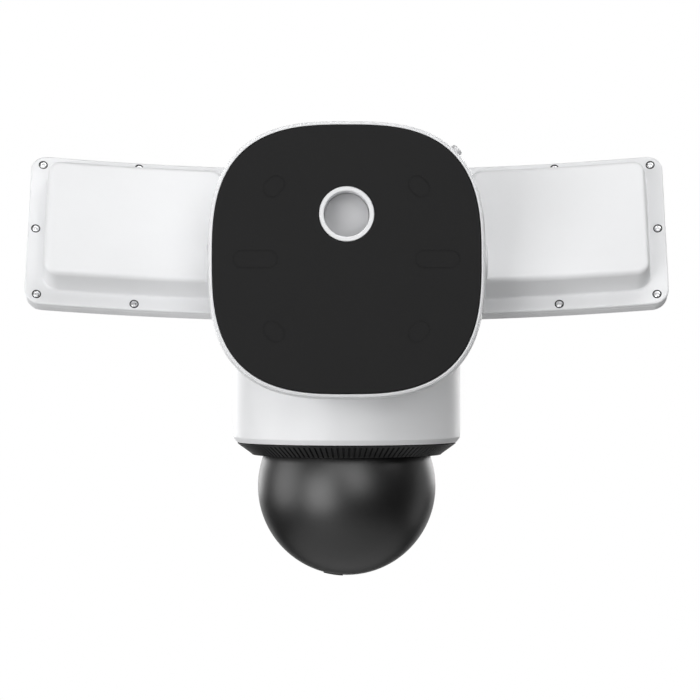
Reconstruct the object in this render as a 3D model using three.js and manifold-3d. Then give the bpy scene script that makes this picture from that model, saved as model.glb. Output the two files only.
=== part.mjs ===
// Floodlight security camera: a wall base, a body with a drum under it, two tilting light heads,
// and a ball camera that pans and tilts below the drum. Millimetres, +Z up, the wall at Y = 0,
// and the front of the object towards -Y. "Right" and "left" are as seen from the front.
import * as THREE from "three";
import { mergeVertices } from "three/addons/utils/BufferGeometryUtils.js";
import Module from "manifold-3d";

const wasm = await Module();
wasm.setup();

// ---- Driving dimensions ----

const GAP = 0.3; // clearance between pieces that rest on each other
const RUNNING = 0.1; // radial clearance of a shaft in its bore
const SHELL = 2.5; // wall thickness of the plastic shells
const TAU = 2 * Math.PI;

// Wall base, a squircle. Depths are measured from the wall.
const SQUIRCLE = 2.88; // superellipse exponent
const GASKET_HALF = 65.5;
const GASKET_THICK = 3;
const BASE_DEPTH = 26;
const BASE_PROFILE = [[0.8, 66.6], [8, 67.6], [19, 68.7], [22.5, 67.4], [25, 64], [BASE_DEPTH, 60]];
const BASE_CAVITY = [[0.7, 65.8], [19, 65.8], [22, 63], [BASE_DEPTH - SHELL, 58.5]];
const PLATE_BACK = GASKET_THICK + GAP;
const PLATE_THICK = 3;
const INSIDE_BASE = BASE_DEPTH - SHELL - GAP; // as deep as a piece in the base may reach

// Cable entry in the wall face.
const CABLE_Z = 22.2;
const CABLE_OUTER_R = 13.5;
const CABLE_INNER_R = 11.15;
const CABLE_SEAL_DEPTH = 15;
const CABLE_SEAL_THICK = 3;
const CABLE_BORE_R = 9.5;
const WIRE_HOLE_R = 8;

// Screw slots in the mounting plate: two long ones 3.5 in apart, four short ones on a 100 mm circle.
const LONG_SLOT_X = 44.45;
const SHORT_SLOT_R = 50;
const SLOT_WIDTH = 5;
const LONG_SLOT_LENGTH = 18;
const SHORT_SLOT_LENGTH = 8;

// Lock screw in the base's upper left corner.
const LOCK_DEPTH = 12;
const LOCK_SHANK_R = 1.8;
const LOCK_HEAD_R = 3;
const LOCK_START = 66; // distances along the diagonal from the base's middle
const LOCK_HEAD_FROM = 76.4;
const LOCK_TIP = 78.4;

// Body in front of the base.
const BODY_HALF = 46;
const BODY_TOP = 58;
const BODY_SPLIT = 75;
const BODY_FRONT = 128;
const BODY_TOP_R = 20;
const BODY_BOTTOM_R = 5;
const STATUS_Z = 32;
const SENSOR_Z = 8;
const SENSOR_R = 11.5;
const STATUS_R = 3;
const BUTTON_Z = -22;
const BUTTON_R = 4.5;
const BUTTON_PROUD = 1.5;
const LENS_SEAT = BODY_FRONT - SHELL - GAP; // where the pieces behind the front wall rest
const HUB_HOLE_R = 18;

// Drum under the body, and the camera's pan axis.
const PAN_Y = -90;
const DRUM_TOP = -46;
const DRUM_R = 59;
const DRUM_BOTTOM = -92;
const COLLAR_BOTTOM = -98.5;
const BODY_BOTTOM = DRUM_TOP + GAP;

// Ball camera.
const BALL_Z = -114.9;
const BALL_R = 46.2;
const BALL_SPLIT = 8; // the shells part this far in front of the centre
const FACE_PITCH = 22; // degrees that the flat face looks down at rest
const FACE_DEPTH = 34; // distance of the flat face from the centre
const FACE_R = 29;
const LENS_Z = 14;
const LENS_R = 9;
const GLASS_SEAT_R = LENS_R - 2.6;
const TILT_UP = 25; // degrees
const TILT_DOWN = 35;
const NECK_HALF_X = 4.5;
const NECK_HALF_Y = 5;
const SHAFT_R = 3;

// Gear trains: teeth and modules.
const PAN_TEETH = 36;
const PAN_PINION_TEETH = 8;
const PAN_MODULE = 2;
const TILT_TEETH = 24;
const TILT_PINION_TEETH = 8;
const TILT_MODULE = 1.25;
const PAN_GEAR_TOP = -50.2;
const PAN_GEAR_BOTTOM = -53.6;
const TILT_GEAR_X = 20.5;

// Light heads. Each is curved about a vertical line and pitched to aim at the ground.
const LIGHT_PITCH = 24.7; // degrees
const LIGHT_BACK_Y = -62.9; // where the flange's back plane crosses the object's middle
const LIGHT_CURVE_R = 874;
const LIGHT_X = 107.2;
const LIGHT_Z = 12.7;
const LIGHT_HALF_X = 54.7;
const LIGHT_HALF_Z = 42;
const LIGHT_CORNER_R = 8;
const FLANGE_THICK = 2.4;
const FRAME_FRONT = 8.8;
const BOX_HEIGHT = 16;
const BOX_HALF_X = 45.8;
const BOX_HALF_Z = 33.8;
const BOX_PROFILE = [[0, 0], [13.2, 1.65], [15.3, 2.8], [BOX_HEIGHT, 4.8]]; // height, then inset
const BEND_STEPS = 3;
const DIFFUSER_HALF_X = 51.2;
const DIFFUSER_HALF_Z = 38.5;
const DIFFUSER_CORNER_R = 5;
const DIFFUSER_BACK = 6.6;
// The five outer screws of a light head, from its centre.
const LIGHT_SCREWS = { top_corner: [48.6, 36.8], side: [50.7, 0], bottom_corner: [48.6, -36.8],
  bottom: [0, -38.8], top: [0, 38.8] };
const SCREW_HEAD_R = 1.85;
const SCREW_HEAD_FROM = -0.6; // heights off the flange's back
const SCREW_HEAD_TOP = 0.35;
const SCREW_TIP = -5;
const SCREW_SHANK_R = 1.2;
const COUNTERBORE_R = 2.35;
const COUNTERBORE_DEPTH = 1.1;

// Hinge of the light heads, along X.
const HINGE_Y = -40;
const HINGE_R = 8.9;
const KNUCKLE_FROM = 58.5;
const KNUCKLE_TO = 70.6;
const PIN_R = 3.9;

const FINISHES = {
  white: { color: 0xf1f2f3, roughness: 0.45, metalness: 0 },
  black: { color: 0x17171a, roughness: 0.35, metalness: 0 },
  rubber: { color: 0x2e2f32, roughness: 0.85, metalness: 0 },
  grey: { color: 0xb9bbbd, roughness: 0.6, metalness: 0 },
  steel: { color: 0xa9abad, roughness: 0.35, metalness: 1 },
  brass: { color: 0xc9a765, roughness: 0.4, metalness: 1 },
  acetal: { color: 0xe8e6de, roughness: 0.5, metalness: 0 },
  board: { color: 0x1f6b3a, roughness: 0.6, metalness: 0 },
  frosted: { color: 0xf6f6f2, roughness: 0.55, metalness: 0 },
  glass: { color: 0x0b0c10, roughness: 0.05, metalness: 0 },
};

// ---- Solid making ----

// A closed three.js geometry as a manifold solid, without its zero-width triangles.
function solid(geometry) {
  const bare = new THREE.BufferGeometry();
  bare.setAttribute("position", geometry.getAttribute("position"));
  bare.setIndex(geometry.index);
  const merged = mergeVertices(bare, 1e-4);
  const index = merged.index.array;
  const kept = [];
  for (let i = 0; i < index.length; i += 3) {
    const [a, b, c] = [index[i], index[i + 1], index[i + 2]];
    if (a !== b && b !== c && c !== a) kept.push(a, b, c);
  }
  return new wasm.Manifold(new wasm.Mesh({
    numProp: 3,
    vertProperties: merged.getAttribute("position").array,
    triVerts: new Uint32Array(kept),
  }));
}

// A manifold solid as a three.js geometry.
function geometryOf(body) {
  const mesh = body.getMesh();
  const geometry = new THREE.BufferGeometry();
  geometry.setAttribute("position", new THREE.BufferAttribute(mesh.vertProperties, mesh.numProp));
  geometry.setIndex(new THREE.BufferAttribute(mesh.triVerts, 1));
  return geometry;
}

function cut(body, ...tools) {
  return tools.reduce((rest, tool) => rest.subtract(tool), body);
}

function join(body, ...others) {
  return others.reduce((whole, other) => whole.add(other), body);
}

// A solid moved, after an optional turn about X, Y and Z in degrees.
function placed(body, position, turn = [0, 0, 0]) {
  const angles = turn.map(THREE.MathUtils.degToRad);
  const matrix = new THREE.Matrix4().makeRotationFromEuler(new THREE.Euler(...angles));
  matrix.setPosition(...position);
  return solid(geometryOf(body).applyMatrix4(matrix));
}

// ---- Outlines, as lists of Vector2 counter-clockwise ----

function squircle(half, count = 36) {
  const points = [];
  for (let i = 0; i < count; i += 1) {
    const angle = (TAU * i) / count;
    const reach = (value) => Math.sign(value) * Math.abs(value) ** (2 / SQUIRCLE) * half;
    points.push(new THREE.Vector2(reach(Math.cos(angle)), reach(Math.sin(angle))));
  }
  return points;
}

// A rectangle with a round corner at each end of its top and bottom.
function rounded(left, bottom, right, top, bottomRadius, topRadius = bottomRadius, steps = 3) {
  const corners = [
    [right - bottomRadius, bottom + bottomRadius, bottomRadius, -90],
    [right - topRadius, top - topRadius, topRadius, 0],
    [left + topRadius, top - topRadius, topRadius, 90],
    [left + bottomRadius, bottom + bottomRadius, bottomRadius, 180],
  ];
  const points = [];
  for (const [x, y, radius, start] of corners) {
    for (let i = 0; i <= steps; i += 1) {
      const angle = THREE.MathUtils.degToRad(start + (90 * i) / steps);
      points.push(new THREE.Vector2(x + radius * Math.cos(angle), y + radius * Math.sin(angle)));
    }
  }
  return points;
}

// A spur gear's outline with trapezoid teeth, one of them pointing at the angle `phase` (degrees).
function gearOutline(teeth, module, phase) {
  const pitchRadius = (teeth * module) / 2;
  const tooth = TAU / teeth;
  const start = THREE.MathUtils.degToRad(phase);
  const [tip, root] = [pitchRadius + 0.7 * module, pitchRadius - 1 * module];
  const flank = [[-0.3, root], [-0.1, tip], [0.1, tip], [0.3, root]]; // share of a tooth, radius
  const points = [];
  for (let i = 0; i < teeth; i += 1) {
    for (const [share, radius] of flank) {
      const angle = start + (i + share) * tooth;
      points.push(new THREE.Vector2(radius * Math.cos(angle), radius * Math.sin(angle)));
    }
  }
  return points;
}

// ---- Basic solids ----

// An outline extruded along +Z from one height to another.
function prism(outline, from, to) {
  const shape = new THREE.Shape(outline);
  const geometry = new THREE.ExtrudeGeometry(shape, { depth: to - from, bevelEnabled: false });
  return solid(geometry.translate(0, 0, from));
}

// Outlines across the X-Z plane joined along the depth, towards -Y: a list of [depth, outline].
function loft(sections) {
  const count = sections[0][1].length;
  const positions = [];
  for (const [depth, outline] of sections) {
    for (const point of outline) positions.push(point.x, -depth, point.y);
  }
  const caps = THREE.ShapeUtils.triangulateShape(sections[0][1], []);
  const last = (sections.length - 1) * count;
  const index = [];
  for (const [a, b, c] of caps) index.push(a, c, b, last + a, last + b, last + c);
  for (let ring = 0; ring < sections.length - 1; ring += 1) {
    for (let i = 0; i < count; i += 1) {
      const [a, b] = [ring * count + i, ring * count + ((i + 1) % count)];
      index.push(a, b, a + count, b, b + count, a + count);
    }
  }
  const geometry = new THREE.BufferGeometry();
  geometry.setAttribute("position", new THREE.Float32BufferAttribute(positions, 3));
  geometry.setIndex(index);
  return solid(geometry);
}

// A closed profile of [radius, height] points, listed with the outside on the right hand when
// going up, turned about the Z axis.
function turned(profile, segments = 36) {
  const points = profile.map(([radius, height]) => new THREE.Vector2(radius, height));
  const hollow = profile[0][0] > 0;
  if (hollow) points.push(points[0].clone());
  return solid(new THREE.LatheGeometry(points, segments).rotateX(Math.PI / 2));
}

// A plain round bar along Z.
function bar(radius, from, to, segments = 20) {
  return turned([[0, from], [radius, from], [radius, to], [0, to]], segments);
}

function block(low, high) {
  const size = high.map((value, axis) => value - low[axis]);
  const middle = high.map((value, axis) => (value + low[axis]) / 2);
  return solid(new THREE.BoxGeometry(...size).translate(...middle));
}

// Turns a solid made along +Z so that it points along +X, or towards the front, -Y.
const ALONG_X = [0, 90, 0];
const TO_FRONT = [90, 0, 0];
// Turns an outline's X to +Y and its Y to +Z, with the extrusion along X.
const OUTLINE_ACROSS_X = [90, 90, 0];
// Turns +Z to the base's upper left diagonal.
const TO_DIAGONAL = [0, -45, 0];

// Points on a circle's arc, as [radius, height] about a centre on the axis. Angles from the equator.
function arc(radius, fromDegrees, toDegrees, steps, height = 0) {
  const points = [];
  for (let i = 0; i <= steps; i += 1) {
    const angle = THREE.MathUtils.degToRad(fromDegrees + ((toDegrees - fromDegrees) * i) / steps);
    points.push([radius * Math.cos(angle), height + radius * Math.sin(angle)]);
  }
  return points;
}

// The slope, in degrees from the equator, where a sphere of this radius reaches this height.
function slopeAt(height, radius) {
  return THREE.MathUtils.radToDeg(Math.asin(height / radius));
}

// ---- The tree of pieces ----

const floodlight = new THREE.Group();

function addPart(group, name, body, finish) {
  const mesh = new THREE.Mesh(geometryOf(body), new THREE.MeshStandardMaterial(FINISHES[finish]));
  mesh.name = name;
  group.add(mesh);
  return mesh;
}

// ---- Wall base ----

function slotTools(depthFrom, depthTo) {
  const half = SLOT_WIDTH / 2;
  const end = half - 0.05;
  const along = (length) => rounded(-length / 2, -half, length / 2, half, end, end, 2);
  const tools = [];
  for (const side of [-1, 1]) {
    const slot = prism(along(LONG_SLOT_LENGTH), depthFrom, depthTo);
    tools.push(placed(slot, [side * LONG_SLOT_X, 0, 0], TO_FRONT));
  }
  for (const angle of [45, 135, 225, 315]) {
    const slot = prism(along(SHORT_SLOT_LENGTH), depthFrom, depthTo);
    const radians = THREE.MathUtils.degToRad(angle);
    const place = [SHORT_SLOT_R * Math.cos(radians), SHORT_SLOT_R * Math.sin(radians), 0];
    tools.push(placed(placed(slot, place, [0, 0, angle + 90]), [0, 0, 0], TO_FRONT));
  }
  return tools;
}

function wallGasket() {
  const pad = loft([[0, squircle(GASKET_HALF)], [GASKET_THICK, squircle(GASKET_HALF)]]);
  const hole = bar(CABLE_OUTER_R + GAP, -1, GASKET_THICK + 1);
  return cut(pad, placed(hole, [0, 0, CABLE_Z], TO_FRONT));
}

// The plate that is screwed to the wall box, with a lug that the lock screw presses on.
function mountingPlate() {
  const half = GASKET_HALF - 0.2;
  const front = PLATE_BACK + PLATE_THICK;
  const plate = loft([[PLATE_BACK, squircle(half)], [front, squircle(half)]]);
  const hole = placed(bar(CABLE_OUTER_R + GAP, 0, BASE_DEPTH), [0, 0, CABLE_Z], TO_FRONT);
  const lug = placed(block([-5, 0, 58], [5, 7, 64]), [0, -front - 6, 0], TO_DIAGONAL);
  return cut(join(plate, lug), hole, ...slotTools(0, 10));
}

// A bar along the base's upper left diagonal, where the lock screw runs.
function alongDiagonal(body) {
  return placed(body, [0, -LOCK_DEPTH, 0], TO_DIAGONAL);
}

function mountBase() {
  const outer = loft(BASE_PROFILE.map(([depth, half]) => [depth, squircle(half)]));
  const cavity = loft(BASE_CAVITY.map(([depth, half]) => [depth, squircle(half)]));
  const wireHole = placed(bar(WIRE_HOLE_R, 10, BASE_DEPTH + 1), [0, 0, 0], TO_FRONT);
  const lockHole = alongDiagonal(bar(LOCK_SHANK_R + GAP, 60, 80, 16));
  return cut(outer, cavity, wireHole, lockHole);
}

function lockScrew() {
  const chamfer = 0.6;
  return alongDiagonal(turned([[0, LOCK_START], [LOCK_SHANK_R, LOCK_START], [LOCK_SHANK_R, LOCK_HEAD_FROM],
    [LOCK_HEAD_R, LOCK_HEAD_FROM], [LOCK_HEAD_R, LOCK_TIP - chamfer], [LOCK_HEAD_R - chamfer, LOCK_TIP],
    [0, LOCK_TIP]], 16));
}

// The ring of the cable entry, with a ledge that the seal rests on.
function cableBushing() {
  const ledge = CABLE_SEAL_DEPTH + CABLE_SEAL_THICK + GAP;
  const ring = turned([[CABLE_INNER_R, GAP], [CABLE_OUTER_R, GAP], [CABLE_OUTER_R, INSIDE_BASE],
    [CABLE_BORE_R, INSIDE_BASE], [CABLE_BORE_R, ledge], [CABLE_INNER_R, ledge]], 24);
  return placed(ring, [0, 0, CABLE_Z], TO_FRONT);
}

// A low dome that closes the cable entry.
function cableSeal() {
  const radius = CABLE_INNER_R - GAP;
  const end = CABLE_SEAL_DEPTH + CABLE_SEAL_THICK;
  const plug = turned([[0, CABLE_SEAL_DEPTH], [radius, CABLE_SEAL_DEPTH + 1], [radius, end], [0, end]], 24);
  return placed(plug, [0, 0, CABLE_Z], TO_FRONT);
}

// Three screw terminals for live, neutral and earth.
function terminalBlock() {
  const pitch = 10;
  const housing = block([-16, -INSIDE_BASE, -44], [16, -11, -26]);
  const well = bar(2.2, 10, 16, 12);
  const wells = [-1, 0, 1].map((place) => placed(well, [place * pitch, 0, -35], TO_FRONT));
  return cut(housing, ...wells);
}

function addBase() {
  addPart(floodlight, "wall_gasket", wallGasket(), "rubber");
  addPart(floodlight, "mounting_plate", mountingPlate(), "black");
  addPart(floodlight, "mount_base", mountBase(), "white");
  addPart(floodlight, "lock_screw", lockScrew(), "steel");
  addPart(floodlight, "cable_bushing", cableBushing(), "white");
  addPart(floodlight, "cable_seal", cableSeal(), "grey");
  addPart(floodlight, "terminal_block", terminalBlock(), "grey");
}

// ---- Body ----

// The body's outline, smaller by `inset` all round.
function bodyOutline(inset) {
  return rounded(inset - BODY_HALF, BODY_BOTTOM + inset, BODY_HALF - inset, BODY_TOP - inset,
    Math.max(BODY_BOTTOM_R - inset, 1), BODY_TOP_R - inset);
}

// The openings that both halves of the body share: hub, hinge pins and wires.
function bodyOpenings() {
  const hub = placed(bar(HUB_HOLE_R, BODY_BOTTOM - 1, BODY_BOTTOM + SHELL + 1), [0, PAN_Y, 0]);
  const pins = placed(bar(PIN_R + GAP, -60, 60, 16), [0, HINGE_Y, 0], ALONG_X);
  const wires = placed(bar(WIRE_HOLE_R, 20, 35), [0, 0, 0], TO_FRONT);
  return [hub, pins, wires];
}

function rearHousing() {
  const back = BASE_DEPTH + GAP;
  const outer = loft([[back, bodyOutline(2)], [back + 2, bodyOutline(0)], [BODY_SPLIT, bodyOutline(0)]]);
  const cavity = loft([[back + SHELL, bodyOutline(SHELL)], [BODY_SPLIT + 1, bodyOutline(SHELL)]]);
  return cut(outer, cavity, ...bodyOpenings());
}

// The front half, with its edges eased: a list of depths before the front and insets.
function frontCover() {
  const rim = BODY_SPLIT + GAP;
  const easing = [[9, 0], [4, 1.6], [1, 4.4], [0, 8]];
  const outer = loft([[rim, bodyOutline(0)],
    ...easing.map(([before, inset]) => [BODY_FRONT - before, bodyOutline(inset)])]);
  const cavity = loft([[rim - 1, bodyOutline(SHELL)], [BODY_FRONT - 9, bodyOutline(SHELL)],
    [BODY_FRONT - SHELL, bodyOutline(9)]]);
  const windows = [[STATUS_Z, STATUS_R], [SENSOR_Z, SENSOR_R], [BUTTON_Z, BUTTON_R]];
  const holes = windows.map(([height, radius]) =>
    placed(bar(radius + GAP, BODY_FRONT - 18, BODY_FRONT + 12), [0, 0, height], TO_FRONT));
  return cut(outer, cavity, ...bodyOpenings(), ...holes);
}

function statusLight() {
  const front = BODY_FRONT + 0.2;
  const pipe = turned([[0, front - 8], [STATUS_R + 2, front - 8], [STATUS_R + 2, front - 4],
    [STATUS_R, front - 3], [STATUS_R, front], [0, front]], 16);
  return placed(pipe, [0, 0, STATUS_Z], TO_FRONT);
}

// A dome with a flange behind the front wall.
function motionSensorLens() {
  const [back, flange] = [LENS_SEAT - 1.5, SENSOR_R + 2];
  const lens = turned([[0, BODY_FRONT], [SENSOR_R - 2, back], [flange, back], [flange, LENS_SEAT],
    [SENSOR_R, LENS_SEAT], [SENSOR_R, BODY_FRONT], [SENSOR_R * 0.8, BODY_FRONT + 2.4],
    [SENSOR_R * 0.4, BODY_FRONT + 3.8], [0, BODY_FRONT + 4.2]], 20);
  return placed(lens, [0, 0, SENSOR_Z], TO_FRONT);
}

function syncButton() {
  const [back, flange] = [LENS_SEAT - 2, BUTTON_R + 1.5];
  const front = BODY_FRONT + BUTTON_PROUD;
  const button = turned([[0, back], [flange, back], [flange, LENS_SEAT], [BUTTON_R, LENS_SEAT],
    [BUTTON_R, front - 0.5], [BUTTON_R - 0.5, front], [0, front]], 20);
  return placed(button, [0, 0, BUTTON_Z], TO_FRONT);
}

function mainBoard() {
  const board = block([-38, -63.6, -34], [38, -62, 46]);
  const processor = block([-10, -66, 10], [10, -63.5, 30]);
  const radio = block([16, -65.4, -12], [32, -63.5, 4]);
  const header = block([-32, -68, -26], [-12, -63.5, -20]);
  return join(board, processor, radio, header);
}

function powerSupply() {
  const board = block([-30, -58, -30], [30, -56.4, 34]);
  const transformer = block([-14, -56.6, -8], [14, -38, 18]);
  const capacitor = placed(bar(6, 0, 22, 16), [21, -50.6, -26]);
  return join(board, transformer, capacitor);
}

function addBody() {
  addPart(floodlight, "rear_housing", rearHousing(), "white");
  addPart(floodlight, "front_cover", frontCover(), "white");
  addPart(floodlight, "status_light", statusLight(), "frosted");
  addPart(floodlight, "motion_sensor_lens", motionSensorLens(), "frosted");
  addPart(floodlight, "sync_button", syncButton(), "grey");
  addPart(floodlight, "main_board", mainBoard(), "board");
  addPart(floodlight, "power_supply", powerSupply(), "board");
}

// ---- Drum and pan drive ----

const panDistance = ((PAN_TEETH + PAN_PINION_TEETH) * PAN_MODULE) / 2;
const PAN_MOTOR_ANGLE = 45; // degrees about the pan axis, from +X towards the wall
const panMotorPlace = [panDistance * Math.SQRT1_2, PAN_Y + panDistance * Math.SQRT1_2];
const SPEAKER_Y = PAN_Y - panDistance;
const SPEAKER_TOP = -70;
const DRUM_CEILING = DRUM_TOP - 2.6;
const DRUM_INNER_R = DRUM_R - 2.6;
const DRUM_FOOT_R = DRUM_R - 2;
const DRUM_MOUTH_R = DRUM_R - 5.6;
const TURNTABLE_R = 12; // the hole in the drum's top that the turntable's hub turns in
const HUB_BOTTOM = -57;
const MOTOR_SHAFT_R = 0.9;
const MOTOR_FLANGE_TOP = -54.5;
const MOTOR_EAR = 13;

// The two points of the pan motor's ears.
function motorEars() {
  return [-1, 1].map((side) => [
    panMotorPlace[0] - side * MOTOR_EAR * Math.SQRT1_2,
    panMotorPlace[1] + side * MOTOR_EAR * Math.SQRT1_2,
  ]);
}

// The drum's shell, with posts for the pan motor and the speaker.
function drumHousing() {
  const inside = [[TURNTABLE_R, DRUM_CEILING], [51.5, DRUM_CEILING], [55.3, -51], [DRUM_INNER_R, -55],
    [DRUM_INNER_R, -85], [DRUM_MOUTH_R, -88], [DRUM_MOUTH_R, DRUM_BOTTOM]];
  const outside = [[DRUM_FOOT_R, DRUM_BOTTOM], [DRUM_R, DRUM_BOTTOM + 2.6], [DRUM_R, DRUM_TOP - 7],
    [57.6, -48.9], [56, -47.3], [52, DRUM_TOP], [TURNTABLE_R, DRUM_TOP]];
  const shell = placed(turned([...inside, ...outside]), [0, PAN_Y, 0]);
  const motorPost = bar(2.4, MOTOR_FLANGE_TOP + GAP, DRUM_TOP - 1, 12);
  const motorPosts = motorEars().map(([x, y]) => placed(motorPost, [x, y, 0]));
  const speakerPost = placed(bar(3, SPEAKER_TOP + GAP, DRUM_TOP - 1, 12), [0, SPEAKER_Y, 0]);
  return join(shell, ...motorPosts, speakerPost);
}

// A cone round the ball's top, with a spigot up into the drum's mouth.
function collarGrille() {
  const shoulder = DRUM_BOTTOM - GAP;
  const [mouth, spigot, spigotTop] = [44.3, DRUM_MOUTH_R - GAP, DRUM_BOTTOM + 3.5];
  const ring = turned([[mouth, COLLAR_BOTTOM], [49.2, COLLAR_BOTTOM], [49.6, COLLAR_BOTTOM + 0.7],
    [DRUM_FOOT_R, shoulder], [spigot, shoulder], [spigot, spigotTop], [51, spigotTop], [51, -92.5],
    [mouth, -96]]);
  return placed(ring, [0, PAN_Y, 0]);
}

function speaker() {
  const [magnet, rim] = [7, 11];
  const cone = turned([[0, -80], [8, -80], [rim, -78.5], [rim, -74], [magnet, -74], [magnet, SPEAKER_TOP],
    [0, SPEAKER_TOP]], 20);
  return placed(cone, [0, SPEAKER_Y, 0]);
}

function panMotor() {
  const [earEnd, earHalf, earThick] = [MOTOR_EAR + 3, 3.5, 1.6];
  const shaft = bar(MOTOR_SHAFT_R, -60, PAN_GEAR_TOP, 12);
  const can = bar(9, -78, MOTOR_FLANGE_TOP - earThick + 0.1);
  const ears = block([-earEnd, -earHalf, MOTOR_FLANGE_TOP - earThick], [earEnd, earHalf, MOTOR_FLANGE_TOP]);
  return placed(join(can, ears, shaft), [...panMotorPlace, 0], [0, 0, PAN_MOTOR_ANGLE + 90]);
}

function panPinion() {
  const gap = 180 / PAN_PINION_TEETH;
  const gear = prism(gearOutline(PAN_PINION_TEETH, PAN_MODULE, PAN_MOTOR_ANGLE + gap),
    PAN_GEAR_BOTTOM, PAN_GEAR_TOP);
  const bore = bar(MOTOR_SHAFT_R + GAP, PAN_GEAR_BOTTOM - 1, PAN_GEAR_TOP + 1, 12);
  return placed(cut(gear, bore), [...panMotorPlace, 0]);
}

// The large gear and its hub, which hangs from a clip on the drum's top.
function panTurntable() {
  const gear = prism(gearOutline(PAN_TEETH, PAN_MODULE, PAN_MOTOR_ANGLE), PAN_GEAR_BOTTOM, PAN_GEAR_TOP);
  const hub = bar(TURNTABLE_R - GAP, HUB_BOTTOM, DRUM_TOP + 2.4);
  const wires = bar(5, HUB_BOTTOM - 3, DRUM_TOP + 6, 16);
  return placed(cut(join(gear, hub), wires), [0, PAN_Y, 0]);
}

function turntableClip() {
  const [low, high] = [DRUM_TOP + GAP, DRUM_TOP + 2];
  const ring = turned([[TURNTABLE_R, low], [16, low], [16, high], [TURNTABLE_R, high]], 20);
  return placed(ring, [0, PAN_Y, 0]);
}

function addDrum() {
  addPart(floodlight, "drum_housing", drumHousing(), "white");
  addPart(floodlight, "collar_grille", collarGrille(), "black");
  addPart(floodlight, "speaker", speaker(), "black");
  addPart(floodlight, "pan_motor", panMotor(), "steel");
  addPart(floodlight, "pan_pinion", panPinion(), "brass");
  addPart(floodlight, "pan_turntable", panTurntable(), "acetal");
  addPart(floodlight, "turntable_clip", turntableClip(), "steel");
}

// ---- Tilt drive, about the ball's centre ----

const tiltDistance = ((TILT_TEETH + TILT_PINION_TEETH) * TILT_MODULE) / 2;
// The motor sits behind and below the centre, clear of the camera board at full tilt.
const tiltMotorPlace = [tiltDistance * Math.SQRT1_2, -tiltDistance * Math.SQRT1_2];
const TILT_MOTOR_ANGLE = 45; // degrees of the motor in the turned Z-Y plane of a part along X
const TILT_GEAR_THICK = 4;
const BOSS_FROM = 30;

// The fork that hangs from the turntable: a neck, a hub round the shaft and a motor pad.
function cameraYoke() {
  const half = NECK_HALF_X;
  const flangeTop = HUB_BOTTOM - GAP - BALL_Z;
  const flange = cut(bar(11, flangeTop - 3, flangeTop, 24), bar(3.2, flangeTop - 1.2, flangeTop + 1, 12));
  const neck = block([-half, -NECK_HALF_Y, 0], [half, NECK_HALF_Y, flangeTop - 2]);
  const hub = placed(bar(9, -half, half), [0, 0, 0], ALONG_X);
  const armAngle = [TILT_MOTOR_ANGLE, 0, 0];
  const arm = placed(block([-half, -6, -tiltDistance], [half, 6, 0]), [0, 0, 0], armAngle);
  const pad = placed(bar(8.5, -half, half), [0, ...tiltMotorPlace], ALONG_X);
  const bore = placed(bar(SHAFT_R + GAP, -20, 20, 16), [0, 0, 0], ALONG_X);
  return cut(join(flange, neck, hub, arm, pad), bore);
}

function tiltShaft() {
  const half = 37;
  return placed(bar(SHAFT_R, -half, half, 16), [0, 0, 0], ALONG_X);
}

function tiltMotor() {
  const from = NECK_HALF_X + GAP;
  const can = bar(7, from, TILT_GEAR_X - 1.5);
  const shaft = bar(MOTOR_SHAFT_R, from, TILT_GEAR_X + TILT_GEAR_THICK, 12);
  return placed(join(can, shaft), [0, ...tiltMotorPlace], ALONG_X);
}

// A part made along Z and turned ALONG_X keeps its own Y, and its own -X becomes +Z.
function tiltPinion() {
  const gap = 180 / TILT_PINION_TEETH;
  const gear = prism(gearOutline(TILT_PINION_TEETH, TILT_MODULE, 180 + TILT_MOTOR_ANGLE + gap),
    TILT_GEAR_X, TILT_GEAR_X + TILT_GEAR_THICK);
  const bore = bar(MOTOR_SHAFT_R + GAP, TILT_GEAR_X - 1, TILT_GEAR_X + TILT_GEAR_THICK + 1, 12);
  return placed(cut(gear, bore), [0, ...tiltMotorPlace], ALONG_X);
}

function tiltGear() {
  const to = TILT_GEAR_X + TILT_GEAR_THICK;
  const gear = prism(gearOutline(TILT_TEETH, TILT_MODULE, TILT_MOTOR_ANGLE), TILT_GEAR_X, to);
  const hub = bar(7, TILT_GEAR_X, BOSS_FROM - GAP);
  const bore = bar(SHAFT_R + RUNNING, TILT_GEAR_X - 1, BOSS_FROM + 1, 16);
  return placed(cut(join(gear, hub), bore), [0, 0, 0], ALONG_X);
}

// ---- Ball camera, about its centre ----

const BALL_INNER_R = BALL_R - SHELL;

// The slot in the ball's top that the neck runs in, for all of the tilt.
function neckSlot() {
  const clearance = slopeAt(NECK_HALF_Y + 1.5, BALL_R);
  const [from, to] = [90 - TILT_DOWN - clearance, 90 + TILT_UP + clearance];
  const reach = BALL_R * 1.2;
  const sector = arc(reach, from, to, 6).map(([radius, height]) => new THREE.Vector2(radius, height));
  const outline = [new THREE.Vector2(0, 0), ...sector];
  const half = NECK_HALF_X + 2;
  return placed(prism(outline, -half, half), [0, 0, 0], OUTLINE_ACROSS_X);
}

// The pocket of the card cover in the ball's underside, grown by `extra` all round.
function cardPocket(extra) {
  return block([2 - extra, -4 - extra, -BALL_R - 2], [12 + extra, 5 + extra, -30]);
}

// Looks along the face's direction: a part made along +Z turned to the pitched face.
const TO_FACE = [90 + FACE_PITCH, 0, 0];

// The hollow ball with its flat face, a seat for the face plate and an opening behind it.
function hollowBall() {
  const seat = FACE_DEPTH - 2.2;
  const lip = seat - 2.3;
  const opening = FACE_R - 2.5;
  const ball = turned([...arc(BALL_R, -90, slopeAt(FACE_DEPTH, BALL_R), 12),
    [FACE_R + GAP, FACE_DEPTH], [FACE_R + GAP, seat], [opening, seat], [opening, lip],
    ...arc(BALL_INNER_R, slopeAt(lip, BALL_INNER_R), -90, 9)], 32);
  return cut(placed(ball, [0, 0, 0], TO_FACE), neckSlot());
}

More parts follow.
